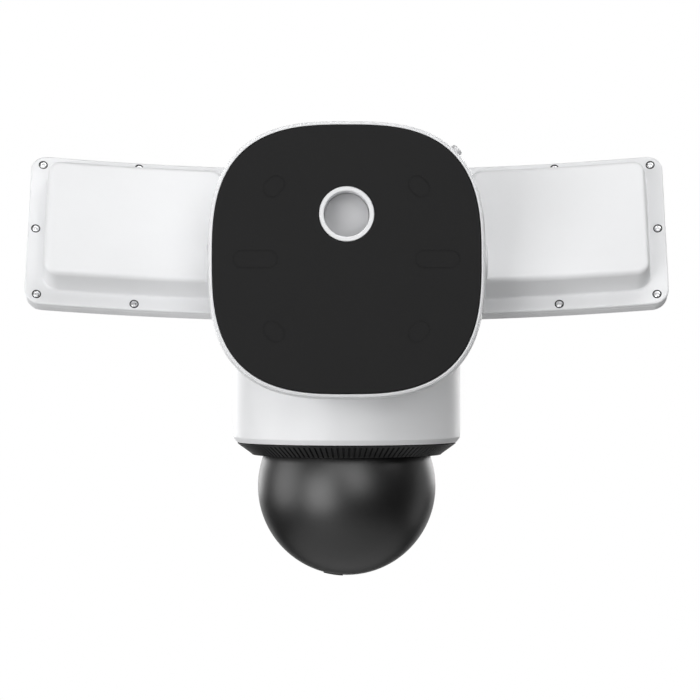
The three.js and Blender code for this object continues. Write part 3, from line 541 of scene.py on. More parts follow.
def diffuser_plastic():
    """Milky plastic moulded with small prisms."""
    material, tree, shader, coords = node_material("diffuser_plastic")
    prisms = tree.nodes.new("ShaderNodeTexVoronoi")
    prisms.inputs["Scale"].default_value = 420
    prisms.inputs["Randomness"].default_value = 0.15
    tree.links.new(coords, prisms.inputs["Vector"])
    tint = blended(tree, noise(tree, coords, 30), (0.80, 0.80, 0.77), (0.84, 0.84, 0.82))
    tree.links.new(tint, shader.inputs["Base Color"])
    fine = noise(tree, coords, 1500)
    tree.links.new(remapped(tree, fine, 0.28, 0.36), shader.inputs["Roughness"])
    tree.links.new(bumped(tree, prisms.outputs["Distance"], 0.12), shader.inputs["Normal"])
    shader.inputs["Subsurface Weight"].default_value = 0.2
    shader.inputs["Subsurface Scale"].default_value = 2 * MM
    return material


def sensor_lens():
    return textured("sensor_lens", (0.80, 0.80, 0.78), 0.02, 0.32, 0.04, 1500, 0.004,
                    [("Subsurface Weight", 0.3), ("Subsurface Scale", 1.5 * MM)])


def face_glass():
    return textured("face_glass", (0.006, 0.006, 0.007), 0.1, 0.09, 0.02, 400, 0.0005,
                    [("Coat Weight", 0.6), ("Coat Roughness", 0.03)])


def lens_glass():
    return textured("lens_glass", (0.012, 0.010, 0.030), 0.3, 0.05, 0.015, 120, 0.0003,
                    [("Coat Weight", 1.0), ("Coat Roughness", 0.02), ("Coat Tint", (0.75, 0.82, 1, 1))])


WHITE = white_plastic()
SEAL_GREY = seal_grey()
RUBBER = gasket_rubber()
BLACK = black_plastic()
SEAL = seal_rubber()
COLLAR = collar_plastic()
GREY = grey_plastic()
STEEL = steel()
DIFFUSER = diffuser_plastic()
SENSOR = sensor_lens()
FACE_GLASS = face_glass()
LENS_GLASS = lens_glass()


def dress_cad_nodes():
    """Gives each CAD node that is kept its procedural material."""
    dressed = [
        (plate_plastic(), ["mounting_plate"]),
        (GREY, ["terminal_block"]),
        (SEAL, ["right_light_seal", "left_light_seal"]),
        (circuit_board(), ["main_board", "power_supply", "camera_board"]),
        (led_board(), ["right_led_board", "left_led_board"]),
        (STEEL, ["pan_motor", "tilt_motor", "tilt_shaft", "turntable_clip",
                 "right_hinge_pin", "left_hinge_pin"]),
        (brass(), ["pan_pinion", "tilt_pinion"]),
        (gear_plastic(), ["pan_turntable", "tilt_gear"]),
        (BLACK, ["speaker", "camera_yoke"]),
    ]
    for material, nodes in dressed:
        for node in nodes:
            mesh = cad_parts[node].data
            mesh.materials.clear()
            mesh.materials.append(material)


# ---- Wall base ----


def engraved_ring(size):
    """A thin raised ring in the shape of a slot, to cut a groove with."""
    length, width = size
    half = ENGRAVED_WIDTH / 2
    above = -1
    rings = []
    for grow, height in [(half, above), (half, ENGRAVED_DEPTH), (-half, ENGRAVED_DEPTH), (-half, above)]:
        outline = stadium(length + 2 * grow, width + 2 * grow)
        rings.append([(x, y, height) for x, y in outline])
    return skin(rings, closed=True)


def add_gasket():
    """The rubber pad, with the outlines of six knock-out slots and the cable hole."""
    flat = 40
    edge = rounded_path([(flat, 0), (GASKET_HALF, 0, 0.5), (GASKET_HALF, GASKET_THICK, 0.3),
                         (flat, GASKET_THICK)])
    gasket = mesh_object("wall_gasket_pad", skin([squircle_ring(half, depth) for half, depth in edge]))
    hole = bar(CABLE_OUTER_R + GAP, -1, GASKET_THICK + 1)
    combine(gasket, moved(hole, at(0, 0, CABLE.z, TO_FRONT)))
    for side in (-1, 1):
        long_ring = moved(engraved_ring(LONG_SLOT_SIZE), at(side * LONG_SLOT_X, 0, 0, TO_FRONT))
        combine(gasket, long_ring)
    for angle in (45, 135, 225, 315):
        around = Matrix.Rotation(math.radians(angle), 4, "Z")
        outward = Matrix.Translation((SHORT_SLOT_R, 0, 0)) @ Matrix.Rotation(math.radians(90), 4, "Z")
        ring = moved(engraved_ring(SHORT_SLOT_SIZE), at(0, 0, 0, TO_FRONT) @ around @ outward)
        combine(gasket, ring)
    finished(gasket, "wall_unit", RUBBER, ["wall_gasket"])


def lock_place():
    """The lock screw's axis: from the base's middle to its upper left corner."""
    return at(0, middle("lock_screw").y, 0, (0, -45, 0))


def add_base():
    """The base's dish: its section, from inside to outside over a grooved rim, swept round it."""
    flat = 30
    inner = GASKET_HALF + GAP
    floor = BASE_DEPTH - SHELL
    section = [
        (flat, floor), (inner - 3, floor, 4), (inner, 18, 3), (inner, 0.7, 0.25),
        (inner + 0.85, 0.7, 0.35), (inner + 0.95, 1.5, 0.1), (inner + 1.25, 1.5, 0.1),
        (inner + 1.45, 1.0, 0.35), (inner + 2.0, 6, 4), (BASE_HALF, 19.5, 2.5),
        (BASE_HALF - 3.2, BASE_DEPTH, 4.5), (flat, BASE_DEPTH),
    ]
    rings = [squircle_ring(half, depth) for half, depth in rounded_path(section, steps=4)]
    base = mesh_object("mount_base_shell", skin(rings))
    combine(base, moved(bar(WIRE_HOLE_R, 10, BASE_DEPTH + 1), at(0, 0, 0, TO_FRONT)))
    bore = LOCK_SHANK_R + GAP
    recess = LOCK_HEAD_R + 0.5
    near, far = 60, 82
    hole = lathe([(0, near), (bore, near), (bore, LOCK_SEAT), (recess, LOCK_SEAT), (recess, far),
                  (0, far)], 48)
    combine(base, moved(hole, lock_place()))
    finished(base, "wall_unit", WHITE, ["mount_base"])


def add_lock_screw():
    """A screw with a domed head and a hexagon key hole, along the base's diagonal."""
    profile = rounded_path([
        (0, LOCK_START), (LOCK_SHANK_R, LOCK_START, 0.4), (LOCK_SHANK_R, LOCK_HEAD_FROM),
        (LOCK_HEAD_R, LOCK_HEAD_FROM, 0.2), (LOCK_HEAD_R, LOCK_HEAD_TO, 1.1), (0, LOCK_HEAD_TO)])
    screw = mesh_object("lock_screw_fine", moved(lathe(profile, 64), lock_place()))
    key = prism(polygon(LOCK_KEY_R, 6), LOCK_HEAD_TO - 1.5, LOCK_HEAD_TO + 1)
    combine(screw, moved(key, lock_place()))
    finished(screw, "wall_unit", zinc(), ["lock_screw"])


def add_cable_entry():
    """The ring of the cable entry, with a ledge inside, and the low dome that closes it."""
    end = BASE_DEPTH - SHELL - GAP
    ring = lathe(rounded_path([
        (CABLE_INNER_R, GAP, 0.7), (CABLE_OUTER_R, GAP, 0.45), (CABLE_OUTER_R, end, 0.3),
        (CABLE_BORE_R, end), (CABLE_BORE_R, CABLE_LEDGE), (CABLE_INNER_R, CABLE_LEDGE)]), closed=True)
    add_piece("cable_bushing_ring", moved(ring, at(0, 0, CABLE.z, TO_FRONT)), "wall_unit", WHITE,
              ["cable_bushing"])
    seal_r = CABLE_INNER_R - GAP
    near = -low_high("cable_seal")[1].y
    plug = lathe([(0, near), (seal_r * 0.3, near + 0.12), (seal_r * 0.6, near + 0.45),
                  (seal_r * 0.85, near + 0.85), (seal_r, near + 1.3), (seal_r, near + 3), (0, near + 3)])
    add_piece("cable_seal_dome", moved(plug, at(0, 0, CABLE.z, TO_FRONT)), "wall_unit", SEAL_GREY,
              ["cable_seal"])


# ---- Body ----


def body_ring(inset, depth):
    """The body's outline, drawn in by the inset."""
    low = (BODY_LOW.x + inset, BODY_LOW.z + inset)
    high = (BODY_HIGH.x - inset, BODY_HIGH.z - inset)
    top = max(BODY_TOP_R - inset, 1)
    bottom = max(BODY_BOTTOM_R - inset, 0.8)
    return [(x, -depth, z) for x, z in rectangle(low, high, bottom, top, 12)]


def body_shell(name, section, node, windows=()):
    """One half of the body: a section of (inset, depth) swept round it, with the hub's hole."""
    rings = [body_ring(inset, depth) for inset, depth in rounded_path(section, steps=6)]
    shell = mesh_object(name, skin(rings))
    hub = bar(HUB_HOLE_R, BODY_LOW.z - 1, BODY_LOW.z + SHELL + 1)
    combine(shell, moved(hub, at(0, DRUM.y, 0)))
    for height, radius in windows:
        window = lathe([(radius, 110), (radius, BODY_FRONT - 0.4), (radius + 0.8, BODY_FRONT + 0.4)])
        combine(shell, moved(window, at(0, 0, height, TO_FRONT)))
    finished(shell, "wall_unit", WHITE, [node])


def add_body():
    """The body's rear half, and its front half with three round windows."""
    back = BASE_DEPTH + GAP
    rim = BODY_SPLIT + GAP
    body_shell("rear_housing_shell", [
        (9, back), (0, back, 2), (0, BODY_SPLIT, 0.5), (SHELL, BODY_SPLIT, 0.3),
        (SHELL, back + SHELL, 1), (9, back + SHELL)], "rear_housing")
    windows = [(middle(node).z, radius + GAP) for node, radius in (
        ("status_light", STATUS_R), ("motion_sensor_lens", SENSOR_R), ("sync_button", BUTTON_R))]
    body_shell("front_cover_shell", [
        (18, BODY_FRONT - SHELL), (SHELL, BODY_FRONT - SHELL, 7), (SHELL, rim, 0.3), (0, rim, 0.5),
        (0, BODY_FRONT, 9), (18, BODY_FRONT)], "front_cover", windows)


def facing(shape, node):
    """A shape made along +Z set to face the front at a CAD node's height."""
    return moved(shape, at(0, 0, middle(node).z, TO_FRONT))


def add_front_details():
    """The status light's pipe, the motion sensor's ridged dome and the sync button."""
    front = BODY_FRONT
    seat = front - SHELL - GAP
    pipe = lathe(rounded_path([
        (0, front - 7.8), (STATUS_R + 2, front - 7.8, 0.3), (STATUS_R + 2, front - 3.8, 0.3),
        (STATUS_R, front - 2.8), (STATUS_R, front + 0.2, 0.5), (0, front + 0.2)]))
    add_piece("status_light_pipe", facing(pipe, "status_light"), "wall_unit", SENSOR,
              ["status_light"])
    ridges = 9
    dome = []
    for ridge in range(ridges, 0, -1):
        outer = SENSOR_R * ridge / ridges
        inner = SENSOR_R * (ridge - 1) / ridges
        rise = [4.1 * (1 - (radius / SENSOR_R) ** 2) ** 0.6 for radius in (outer, inner)]
        dome.append((outer, front + rise[0]))
        dome.append((inner + 0.12, front + rise[1] - 0.16))
    lens = lathe([
        (0, front), (SENSOR_R - 2, seat - 1.5), (SENSOR_R + 2, seat - 1.5), (SENSOR_R + 2, seat),
        (SENSOR_R, seat), *dome, (0, front + 4)])
    add_piece("motion_sensor_dome", facing(lens, "motion_sensor_lens"), "wall_unit", SENSOR,
              ["motion_sensor_lens"], 25)
    top = front + 1.5
    flange = BUTTON_R + 1.5
    button = lathe(rounded_path([
        (0, seat - 2), (flange, seat - 2, 0.2), (flange, seat, 0.2), (BUTTON_R, seat),
        (BUTTON_R, top, 0.7), (BUTTON_R - 1.1, top, 0.3), (BUTTON_R - 2.1, top - 0.45, 1.5),
        (0, top - 0.5)]))
    add_piece("sync_button_cap", facing(button, "sync_button"), "sync_button", GREY,
              ["sync_button"])


# ---- Drum and collar ----


def add_drum():
    """The drum's shell, with posts inside for the pan motor and the speaker."""
    top = DRUM_HIGH.z
    bottom = DRUM_LOW.z
    wall = 2.6
    hole = 12
    mouth = DRUM_R - 5.6
    inner = DRUM_R - wall
    profile = rounded_path([
        (hole, top), (DRUM_R, top, 7), (DRUM_R, bottom + 2.6, 1.2), (DRUM_R - 2, bottom, 0.6),
        (mouth, bottom, 0.3), (mouth, bottom + 4), (inner, bottom + 7), (inner, top - wall, 5),
        (hole, top - wall)], steps=7)
    drum = mesh_object("drum_shell", moved(lathe(profile, 192, closed=True), at(0, DRUM.y, 0)))
    motor = middle("pan_motor")
    spread = MOTOR_EAR * math.sqrt(0.5)
    posts = [(motor.x - spread, motor.y + spread, MOTOR_POST_R, MOTOR_POST_LOW),
             (motor.x + spread, motor.y - spread, MOTOR_POST_R, MOTOR_POST_LOW),
             (0, middle("speaker").y, SPEAKER_POST_R, SPEAKER_POST_LOW)]
    for x, y, radius, low in posts:
        combine(drum, moved(bar(radius, low, top - 1, 32), at(x, y, 0)), "UNION")
    finished(drum, "wall_unit", WHITE, ["drum_housing"])


def add_collar():
    """A cone of slotted ribs under the drum, round the top of the ball."""
    low, high = low_high("collar_grille")
    bottom, top = low.z, high.z
    shoulder = DRUM_LOW.z - GAP
    mouth = 44.3
    bore = 51
    spigot = 53.1
    slot = 1.3
    # Radius, height and how much deeper the slots are there.
    section = [
        (mouth, bottom + 0.3, 0), (mouth + 0.3, bottom, 0), (46.6, bottom, 0), (48.6, bottom, slot),
        (49.1, bottom + 0.15, slot), (49.6, bottom + 0.7, slot), (55.9, shoulder - 0.95, slot),
        (56, shoulder - 0.85, 0), (56.8, shoulder - 0.2, 0), (56.5, shoulder, 0),
        (spigot, shoulder, 0), (spigot, top, 0), (bore, top, 0), (bore, shoulder - 0.2, 0),
        (mouth, shoulder - 3.7, 0),
    ]
    count = COLLAR_RIBS * RIB_STEPS
    rings = []
    for radius, height, depth in section:
        ring = []
        for i in range(count):
            angle = math.tau * i / count
            reach = radius - (depth if i % RIB_STEPS in (3, 4) else 0)
            ring.append((reach * math.cos(angle), reach * math.sin(angle), height))
        rings.append(ring)
    shape = moved(skin(rings, closed=True), at(0, DRUM.y, 0))
    add_piece("collar_grille_ribs", shape, "wall_unit", COLLAR, ["collar_grille"], 25)


# ---- Ball camera, made about its centre ----


def slope_at(height, radius):
    """The angle in degrees from a sphere's equator to the height."""
    return math.degrees(math.asin(height / radius))


def in_ball(shape, turn=(0, 0, 0)):
    """A shape made about the ball's centre, turned and put in its place."""
    return moved(shape, at(BALL.x, BALL.y, BALL.z, turn))


def neck_slot():
    """The opening in the ball's top that the neck runs in, for all of the tilt."""
    clearance = slope_at(NECK_HALF_Y + 1.5, BALL_R)
    outline = [(0, 0), *arc(BALL_R * 1.2, 90 - TILT_DOWN - clearance, 90 + TILT_UP + clearance, 12)]
    half = NECK_HALF_X + 2
    return in_ball(skin([[(x, y, z) for y, z in outline] for x in (-half, half)]))


def card_pocket(extra, radius=1.5):
    """The opening for the card cover under the ball, larger by the extra all round."""
    outline = rectangle((2 - extra, -4 - extra), (12 + extra, 5 + extra), radius, radius, 6)
    return in_ball(prism(outline, -BALL_R - 2, -30))


def seam_chamfer():
    """A wedge ring that eases the front shell's edge at the seam."""
    edge = BALL_R * math.cos(math.radians(slope_at(BALL_SPLIT, BALL_R)))
    wedge = [(edge - 0.4, BALL_SPLIT + GAP - 0.02), (edge + 2, BALL_SPLIT + GAP - 0.02),
             (edge + 2, BALL_SPLIT + GAP + 2.4)]
    return in_ball(lathe(wedge, BALL_STEPS, closed=True), TO_FRONT)


def add_rear_shell():
    """The rear half of the ball, with a boss for each end of the shaft."""
    outer = arc(BALL_R, slope_at(-BALL_SPLIT, BALL_R) + 0.4, 90, 64)
    inner = arc(BALL_INNER_R, 90, slope_at(-BALL_SPLIT, BALL_INNER_R), 48)
    rim = BALL_R * math.cos(math.radians(slope_at(BALL_SPLIT, BALL_R)))
    shape = lathe([(rim - 0.35, -BALL_SPLIT), *outer, *inner], BALL_STEPS, closed=True)
    shell = mesh_object("ball_rear_shell", in_ball(shape, TO_REAR))
    for side in (-1, 1):
        boss = bar(6, BOSS_FROM, BALL_INNER_R - 0.2, 48)
        combine(shell, in_ball(boss, (0, side * 90, 0)), "UNION")
    combine(shell, in_ball(bar(SHAFT_R + RUNNING, -38, 38, 48), ALONG_X))
    combine(shell, neck_slot())
    combine(shell, card_pocket(GAP))
    finished(shell, "camera_ball", BLACK, ["camera_rear_shell"])


def add_front_shell():
    """The front of the ball, cut flat at the seam, with the opening for the face."""
    seat = FACE_DEPTH - 2.2
    lip = seat - 2.3
    opening = FACE_R - 2.5
    profile = [
        *arc(BALL_R, -90, slope_at(FACE_DEPTH, BALL_R) - 0.9, 96), (FACE_R + 1.95, FACE_DEPTH - 0.12),
        (FACE_R + 1.6, FACE_DEPTH), (FACE_R + GAP + 0.3, FACE_DEPTH), (FACE_R + GAP, FACE_DEPTH - 0.3),
        (FACE_R + GAP, seat), (opening, seat), (opening, lip),
        *arc(BALL_INNER_R, slope_at(lip, BALL_INNER_R), -90, 72)]
    shell = mesh_object("ball_front_shell", in_ball(lathe(profile, BALL_STEPS, closed=True), TO_FACE))
    reach = 60
    behind = prism([(-reach, -BALL_SPLIT - GAP), (reach, -BALL_SPLIT - GAP), (reach, reach),
                    (-reach, reach)], -reach, reach)
    combine(shell, in_ball(behind))
    combine(shell, seam_chamfer())
    combine(shell, neck_slot())
    finished(shell, "camera_ball", BLACK, ["camera_front_shell"])


def on_face(shape, side=0):
    """A shape along +Z on the ball's face, at the upper (1) or lower (-1) lens or the middle."""
    return in_ball(moved(shape, at(0, side * LENS_OFFSET, 0)), TO_FACE)


def add_face():
    """The dark plate over the ball's flat face, with a hole for each lens."""
    plate = lathe(rounded_path([(0, FACE_DEPTH - 1.9), (FACE_R, FACE_DEPTH - 1.9, 0.2),
                                (FACE_R, FACE_DEPTH, 0.5), (0, FACE_DEPTH)]), 128)
    face = mesh_object("face_plate_glass", on_face(plate))
    for side in (-1, 1):
        hole = lathe([(LENS_R + GAP, 20), (LENS_R + GAP, FACE_DEPTH - 0.3),
                      (LENS_R + GAP + 0.6, FACE_DEPTH + 0.3)])
        combine(face, on_face(hole, side))
    finished(face, "camera_ball", FACE_GLASS, ["camera_face_plate"])


def add_lenses():
    """Two barrels, each with stepped baffles and a glass dome behind them."""
    mouth = FACE_DEPTH + 0.4
    steps = 5
    baffles = []
    for step in range(steps):
        radius = LENS_R - 1 - 1.6 * step / steps
        height = mouth - 0.2 - 2.8 * step / steps
        baffles += [(radius, height), (radius, height - 0.45), (radius - 0.3, height - 0.56)]
    barrel = lathe([(2.5, 19.6), (LENS_R - 2, 19.6), (LENS_R, 26), (LENS_R, mouth - 0.3),
                    (LENS_R - 0.15, mouth - 0.08), (LENS_R - 0.4, mouth), (LENS_R - 0.8, mouth),
                    *baffles, (LENS_R - 2.6, mouth - 3), (LENS_R - 2.6, mouth - 7), (2.5, mouth - 9)],
                   closed=True)
    radius = LENS_R - 2.6 - GAP
    back = FACE_DEPTH - 6
    rim = FACE_DEPTH - 3.8
    turns = [math.radians(90 * i / 12) for i in range(13)]
    dome = [(radius * math.cos(turn), rim + 2.2 * math.sin(turn)) for turn in turns]
    glass = lathe([(0, back), (radius - 0.2, back), (radius, back + 0.2), *dome])
    for name, side in (("upper", 1), ("lower", -1)):
        add_piece(f"{name}_barrel_baffled", on_face(barrel, side), "camera_ball", BLACK,
                  [f"{name}_lens_barrel"], 28)
        add_piece(f"{name}_glass_dome", on_face(glass, side), "camera_ball", LENS_GLASS,
                  [f"{name}_lens_glass"])


def add_card_cover():
    """A soft cover under the ball, a little proud of it, with a thumb groove."""
    profile = [*arc(BALL_R + 0.4, -90, -60, 40), *arc(BALL_INNER_R, -60, -90, 30)]
    shape = lathe(profile, BALL_STEPS, closed=True)
    cover = mesh_object("card_cover_skin", in_ball(shape))
    combine(cover, card_pocket(0, 1.3), "INTERSECT")
    groove = prism(stadium(5.5, 0.7), -BALL_R - 2, -BALL_R + 0.9)
    combine(cover, in_ball(moved(groove, at(7, -2, 0))))
    finished(cover, "camera_ball", RUBBER, ["card_cover"])


# ---- Light heads ----
# A head's own points are (across, height, up) from its centre: across along the head away from
# the body, height off the flange's back towards the wall, and up along the head.


def on_head(shape, side):
    """A shape in a head's own points, bent to its curve, pitched and put in its place."""
    points, faces = shape
    pitch = math.radians(HEAD_PITCH)
    placed = []
    for across, height, up in points:
        x = HEAD_X + across
        y = HEAD_CURVE_R - math.sqrt(HEAD_CURVE_R ** 2 - x * x) + height
        z = HEAD_Z + up
        placed.append((side * x, HEAD_BACK_Y + y * math.cos(pitch) - z * math.sin(pitch),
                       y * math.sin(pitch) + z * math.cos(pitch)))
    return placed, faces


def head_place(offset, side):
    """The place at an offset on the flange's back, with +Z pointing away from the light."""
    across, up = offset
    slope = math.degrees(math.asin((HEAD_X + across) / HEAD_CURVE_R))
    spot = on_head(([(across, 0, up)], []), 1)[0][0]
    turn = at(0, 0, 0, (HEAD_PITCH, 0, 0)) @ at(0, 0, 0, (0, 0, slope)) @ at(0, 0, 0, TO_REAR)
    return Matrix.Diagonal((side, 1, 1, 1)) @ Matrix.Translation(spot) @ turn


def head_ring(half_x, half_z, radius, height):
    """A rounded rectangle on the head, with the same number of points for any size."""
    centre_x, centre_z = half_x - radius, half_z - radius
    corners = [(centre_x, centre_z, 0), (-centre_x, centre_z, 90),
               (-centre_x, -centre_z, 180), (centre_x, -centre_z, 270)]
    runs = []
    for x, z, start in corners:
        angles = [math.radians(start + 90 * i / CORNER_STEPS) for i in range(CORNER_STEPS + 1)]
        runs.append([(x + radius * math.cos(a), z + radius * math.sin(a)) for a in angles])
    ring = []
    for index, run in enumerate(runs):
        ring.extend(run)
        (x, z), (next_x, next_z) = run[-1], runs[(index + 1) % 4][0]
        steps = LONG_SIDE_STEPS if index % 2 == 0 else SHORT_SIDE_STEPS
        for i in range(1, steps):
            share = i / steps
            ring.append((x + (next_x - x) * share, z + (next_z - z) * share))
    return [(x, height, z) for x, z in ring]


def cap_outs(first, last):
    """Offsets for the rings of a cap, from an edge down to the head's middle line."""
    return [first + (last - first) * i / CAP_STEPS for i in range(1, CAP_STEPS + 1)]


def add_housing(name, side):
    """The back shell: one section swept round the head, with the box, the flange and the inside."""
    half_x, half_z = BOX_HALF
    wider = (HEAD_HALF[0] - half_x) / (HEAD_HALF[1] - half_z)
    edge = HEAD_HALF[1] - half_z

    def ring(out, height):
        grow = out if out < 0 else out * wider
        radius = max(HEAD_CORNER_R + min(out, 0), 0)
        return head_ring(half_x + grow, half_z + out, radius, height)

    section = rounded_path([
        (-8, BOX_HEIGHT), (-2, BOX_HEIGHT, 3), (0, 0, 1.3), (edge, 0, 0.9), (edge, -FLANGE_THICK),
        (-2.6, -FLANGE_THICK, 0.3), (-4.6, BOX_HEIGHT - SHELL, 2), (-10, BOX_HEIGHT - SHELL)], steps=6)
    outside = [ring(out, BOX_HEIGHT) for out in reversed(cap_outs(-8, -half_z))]
    inside = [ring(out, BOX_HEIGHT - SHELL) for out in cap_outs(-10, -half_z)]
    shape = skin([*outside, *[ring(out, height) for out, height in section], *inside])
    housing = mesh_object(f"{name}_head_shell", on_head(shape, side))
    low, high = KNUCKLE_X
    knuckle = lathe(rounded_path([(0, low), (HINGE_R, low, 0.6), (HINGE_R, high, 1.2), (0, high)]), 64)
    hinge = at(0, HINGE.y, HINGE.z, (0, side * 90, 0))
    combine(housing, moved(knuckle, hinge), "UNION")
    combine(housing, moved(bar(PIN_R + RUNNING, low - 1, high - 1, 48), hinge))
    bores = [moved(bar(COUNTERBORE_R, -COUNTERBORE_DEPTH, 2, 32), head_place(offset, side))
             for offset in [*OUTER_SCREWS.values(), *INNER_SCREWS.values()]]
    combine(housing, joined(*bores))
    finished(housing, f"{name}_light", WHITE, [f"{name}_light_housing"])


def add_frame(name, side):
    """The front rim that holds the diffuser."""
    half_x, half_z = HEAD_HALF
    pocket, opening = -3.2, -7.7
    section = rounded_path([
        (0, -FLANGE_THICK - GAP, 0.3), (0, -FRAME_FRONT, 1.6), (pocket, -FRAME_FRONT, 0.5),
        (pocket, -DIFFUSER_BACK + GAP), (opening, -DIFFUSER_BACK + GAP, 0.4),
        (opening, -FLANGE_THICK - GAP)], steps=5)
    rings = [head_ring(half_x + out, half_z + out, max(HEAD_CORNER_R + out, 1), height)
             for out, height in section]
    shape = on_head(skin(rings, closed=True), side)
    add_piece(f"{name}_head_rim", shape, f"{name}_light", WHITE,
              [f"{name}_light_frame"])


def add_diffuser(name, side):
    """The milky panel over the lamps, seated in the front rim."""
    half_x, half_z = DIFFUSER_HALF

    def ring(out, height):
        return head_ring(half_x + out, half_z + out, max(5 + out, 0), height)

    back, front = -DIFFUSER_BACK, -DIFFUSER_FRONT
    section = rounded_path([(-5, back), (0, back, 0.3), (0, front, 1.5), (-5, front)])
    first = [ring(out, back) for out in reversed(cap_outs(-5, -half_z))]
    last = [ring(out, front) for out in cap_outs(-5, -half_z)]
    shape = skin([*first, *[ring(out, height) for out, height in section], *last])
    add_piece(f"{name}_diffuser_lens", on_head(shape, side), f"{name}_light", DIFFUSER,
              [f"{name}_light_diffuser"])


def screw_mesh():
    """A pan-head screw with a cross recess, along +Z with the flange's back at 0."""
    top = 0.35
    profile = rounded_path([(0, -5), (1.2, -5, 0.3), (1.2, -COUNTERBORE_DEPTH + 0.05),
                            (SCREW_HEAD_R, -COUNTERBORE_DEPTH + 0.05, 0.1), (SCREW_HEAD_R, top, 0.7),
                            (0, top)])
    screw = mesh_object("screw_pattern", lathe(profile, 48))
    arm, half, deep = 1.05, 0.24, 0.75
    cross = [(half, half), (half, arm), (-half, arm), (-half, half), (-arm, half), (-arm, -half),
             (-half, -half), (-half, -arm), (half, -arm), (half, -half), (arm, -half), (arm, half)]
    narrow = [(x * 0.5, y * 0.5, top - deep) for x, y in cross]
    wide = [(x * 1.1, y * 1.1, top + 0.2) for x, y in cross]
    combine(screw, skin([narrow, wide]))
    mesh = screw.data
    bpy.data.objects.remove(screw)
    return mesh


def add_screws(name, side, pattern):
    """A copy of the screw at each of a head's places. Only the outer ones stand for CAD nodes."""
    for place, offset in {**OUTER_SCREWS, **INNER_SCREWS}.items():
        mesh = pattern.copy()
        matrix = head_place(offset, side)
        matrix.translation *= MM
        mesh.transform(matrix, shape_keys=False)
        if side < 0:
            mesh.flip_normals()
        screw = bpy.data.objects.new(f"{name}_screw_{place}", mesh)
        bpy.context.scene.collection.objects.link(screw)
        nodes = [f"{name}_light_screw_{place}"] if place in OUTER_SCREWS else []
        finished(screw, f"{name}_light", STEEL, nodes)


def add_painted_screw_shade(name, side):
    """A dark rubber ring round each screw's head, filling its counterbore's gap: painted shadow of that
    gap.
    """
    # Dark rings sit where the counterbore's gap would be in shade: they are a painted shadow of that
    # gap.
    low, high = -COUNTERBORE_DEPTH + 0.06, -0.12
    inner, outer = SCREW_HEAD_R + 0.04, COUNTERBORE_R - 0.03
    ring = lathe([(inner, low), (outer, low), (outer, high), (inner, high)], 40, closed=True)
    offsets = {**OUTER_SCREWS, **INNER_SCREWS}.values()
    rings = joined(*[moved(ring, head_place(offset, side)) for offset in offsets])
    add_piece(f"{name}_painted_screw_shade", rings, f"{name}_light", SEAL)


def add_hinge_arm(name, side):
    """The fixed half of a hinge, on the side of the body."""
    low, high = low_high("right_hinge_arm")
    bore = PIN_R + GAP
    foot = HINGE_R + 3
    profile = rounded_path([
        (bore, low.x), (foot, low.x, 0.3), (foot, low.x + 1.9, 0.9), (HINGE_R, low.x + 4, 1.5),
        (HINGE_R, high.x, 0.6), (bore, high.x)])
    shape = moved(lathe(profile, 64, closed=True), at(0, HINGE.y, HINGE.z, (0, side * 90, 0)))
    add_piece(f"{name}_arm_turned", shape, "wall_unit", WHITE, [f"{name}_hinge_arm"])


def add_lights():
    """Both light heads, mirror images of each other."""
    pattern = screw_mesh()
    for name, side in (("right", 1), ("left", -1)):
        add_hinge_arm(name, side)
        add_housing(name, side)
        add_frame(name, side)
        add_diffuser(name, side)
        add_screws(name, side, pattern)
        # Dark rings round the screw heads: a painted shadow in the counterbores.
        add_painted_screw_shade(name, side)
    bpy.data.meshes.remove(pattern)


# ---- Studio ----

# The lights and the camera are placed in metres, and everything else in millimetres.
LIGHT_DISTANCE = 1.9
AIM = Vector((0, 0, -0.02))
CAMERA_DISTANCE = 1.32
CAMERA_HEIGHT = -0.0442
# Softboxes: name, azimuth from the camera's side towards +X and elevation in degrees, width and
# height in metres, power in watts.
LIGHTS = [
    ("key", 36, -10, (1.2, 1.5), 18.0),
    ("camera_side", 4, 26, (1.8, 0.9), 7.5),
    ("camera_right", -14, 6, (1.0, 1.0), 7.0),
    ("top", 10, 60, (0.8, 0.8), 4.0),
    ("top_right", -50, 60, (1.1, 0.9), 11.5),
    ("side_bank", 88, 2, (1.3, 1.5), 13.0),
    ("high_right", -70, 35, (0.7, 0.8), 3.5),
    ("right_strip", -115, -8, (0.8, 1.7), 2.6),
    ("front_wall", 180, 5, (2.6, 2.2), 14.0),
    ("front_left", 148, 12, (0.9, 1.4), 11.0),
    ("front_right", -150, 12, (0.9, 1.2), 10.0),
]


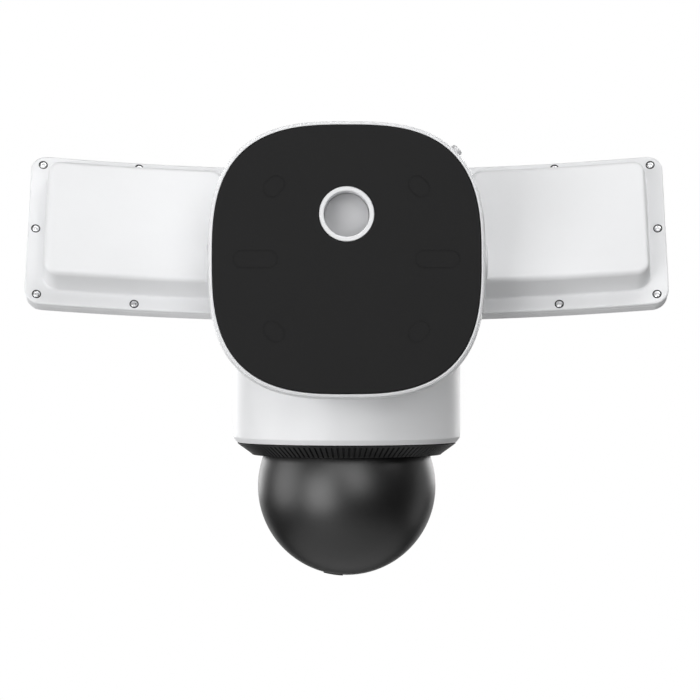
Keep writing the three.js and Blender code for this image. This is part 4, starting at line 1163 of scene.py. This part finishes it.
def add_light(name, azimuth, elevation, size, power):
    """A softbox that faces the object from LIGHT_DISTANCE away."""
    data = bpy.data.lights.new(name, "AREA")
    data.shape = "RECTANGLE"
    data.size, data.size_y = size
    data.energy = power
    turn, rise = math.radians(azimuth), math.radians(elevation)
    level = math.cos(rise)
    place = LIGHT_DISTANCE * Vector((math.sin(turn) * level, math.cos(turn) * level, math.sin(rise)))
    light = bpy.data.objects.new(name, data)
    light.location = place
    light.rotation_euler = (AIM - place).to_track_quat("-Z", "Y").to_euler()
    light.visible_camera = False
    bpy.context.scene.collection.objects.link(light)


def add_world():
    """White behind the object, and a softer even light round it."""
    world = bpy.data.worlds.new("studio")
    bpy.context.scene.world = world
    world.use_nodes = True
    tree = world.node_tree
    backdrop = tree.nodes["Background"]
    backdrop.inputs["Color"].default_value = (1, 1, 1, 1)
    backdrop.inputs["Strength"].default_value = 1.0
    ambient = tree.nodes.new("ShaderNodeBackground")
    ambient.name = "ambient"
    ambient.inputs["Color"].default_value = (0.97, 0.98, 1, 1)
    ambient.inputs["Strength"].default_value = 0.01
    path = tree.nodes.new("ShaderNodeLightPath")
    mix = tree.nodes.new("ShaderNodeMixShader")
    tree.links.new(path.outputs["Is Camera Ray"], mix.inputs["Fac"])
    tree.links.new(ambient.outputs["Background"], mix.inputs[1])
    tree.links.new(backdrop.outputs["Background"], mix.inputs[2])
    tree.links.new(mix.outputs["Shader"], tree.nodes["World Output"].inputs["Surface"])


def add_floor():
    """A plain pale floor, well below the object."""
    radius = 1800
    top = -1500
    floor = mesh_object("floor", bar(radius, top - 20, top, 128))
    floor.data.materials.append(textured("floor_paint", (0.56, 0.56, 0.56), 0.01, 0.7, 0.05, 60, 0.05))


def add_camera():
    """Straight on to the wall side, level, a little below the object's middle."""
    data = bpy.data.cameras.new("camera")
    data.sensor_width = 36
    data.lens = 139.3
    data.shift_x = 0.0047
    camera = bpy.data.objects.new("camera", data)
    camera.location = (0, CAMERA_DISTANCE, CAMERA_HEIGHT)
    camera.rotation_euler = (math.radians(90), 0, math.radians(180))
    bpy.context.scene.collection.objects.link(camera)
    bpy.context.scene.camera = camera


def add_studio():
    add_world()
    add_floor()
    for light in LIGHTS:
        add_light(*light)
    add_camera()
    bpy.context.scene.view_settings.view_transform = "Standard"


dress_cad_nodes()
add_gasket()
add_base()
add_lock_screw()
add_cable_entry()
add_body()
add_front_details()
add_drum()
add_collar()
add_rear_shell()
add_front_shell()
add_face()
add_lenses()
add_card_cover()
add_lights()
add_studio()
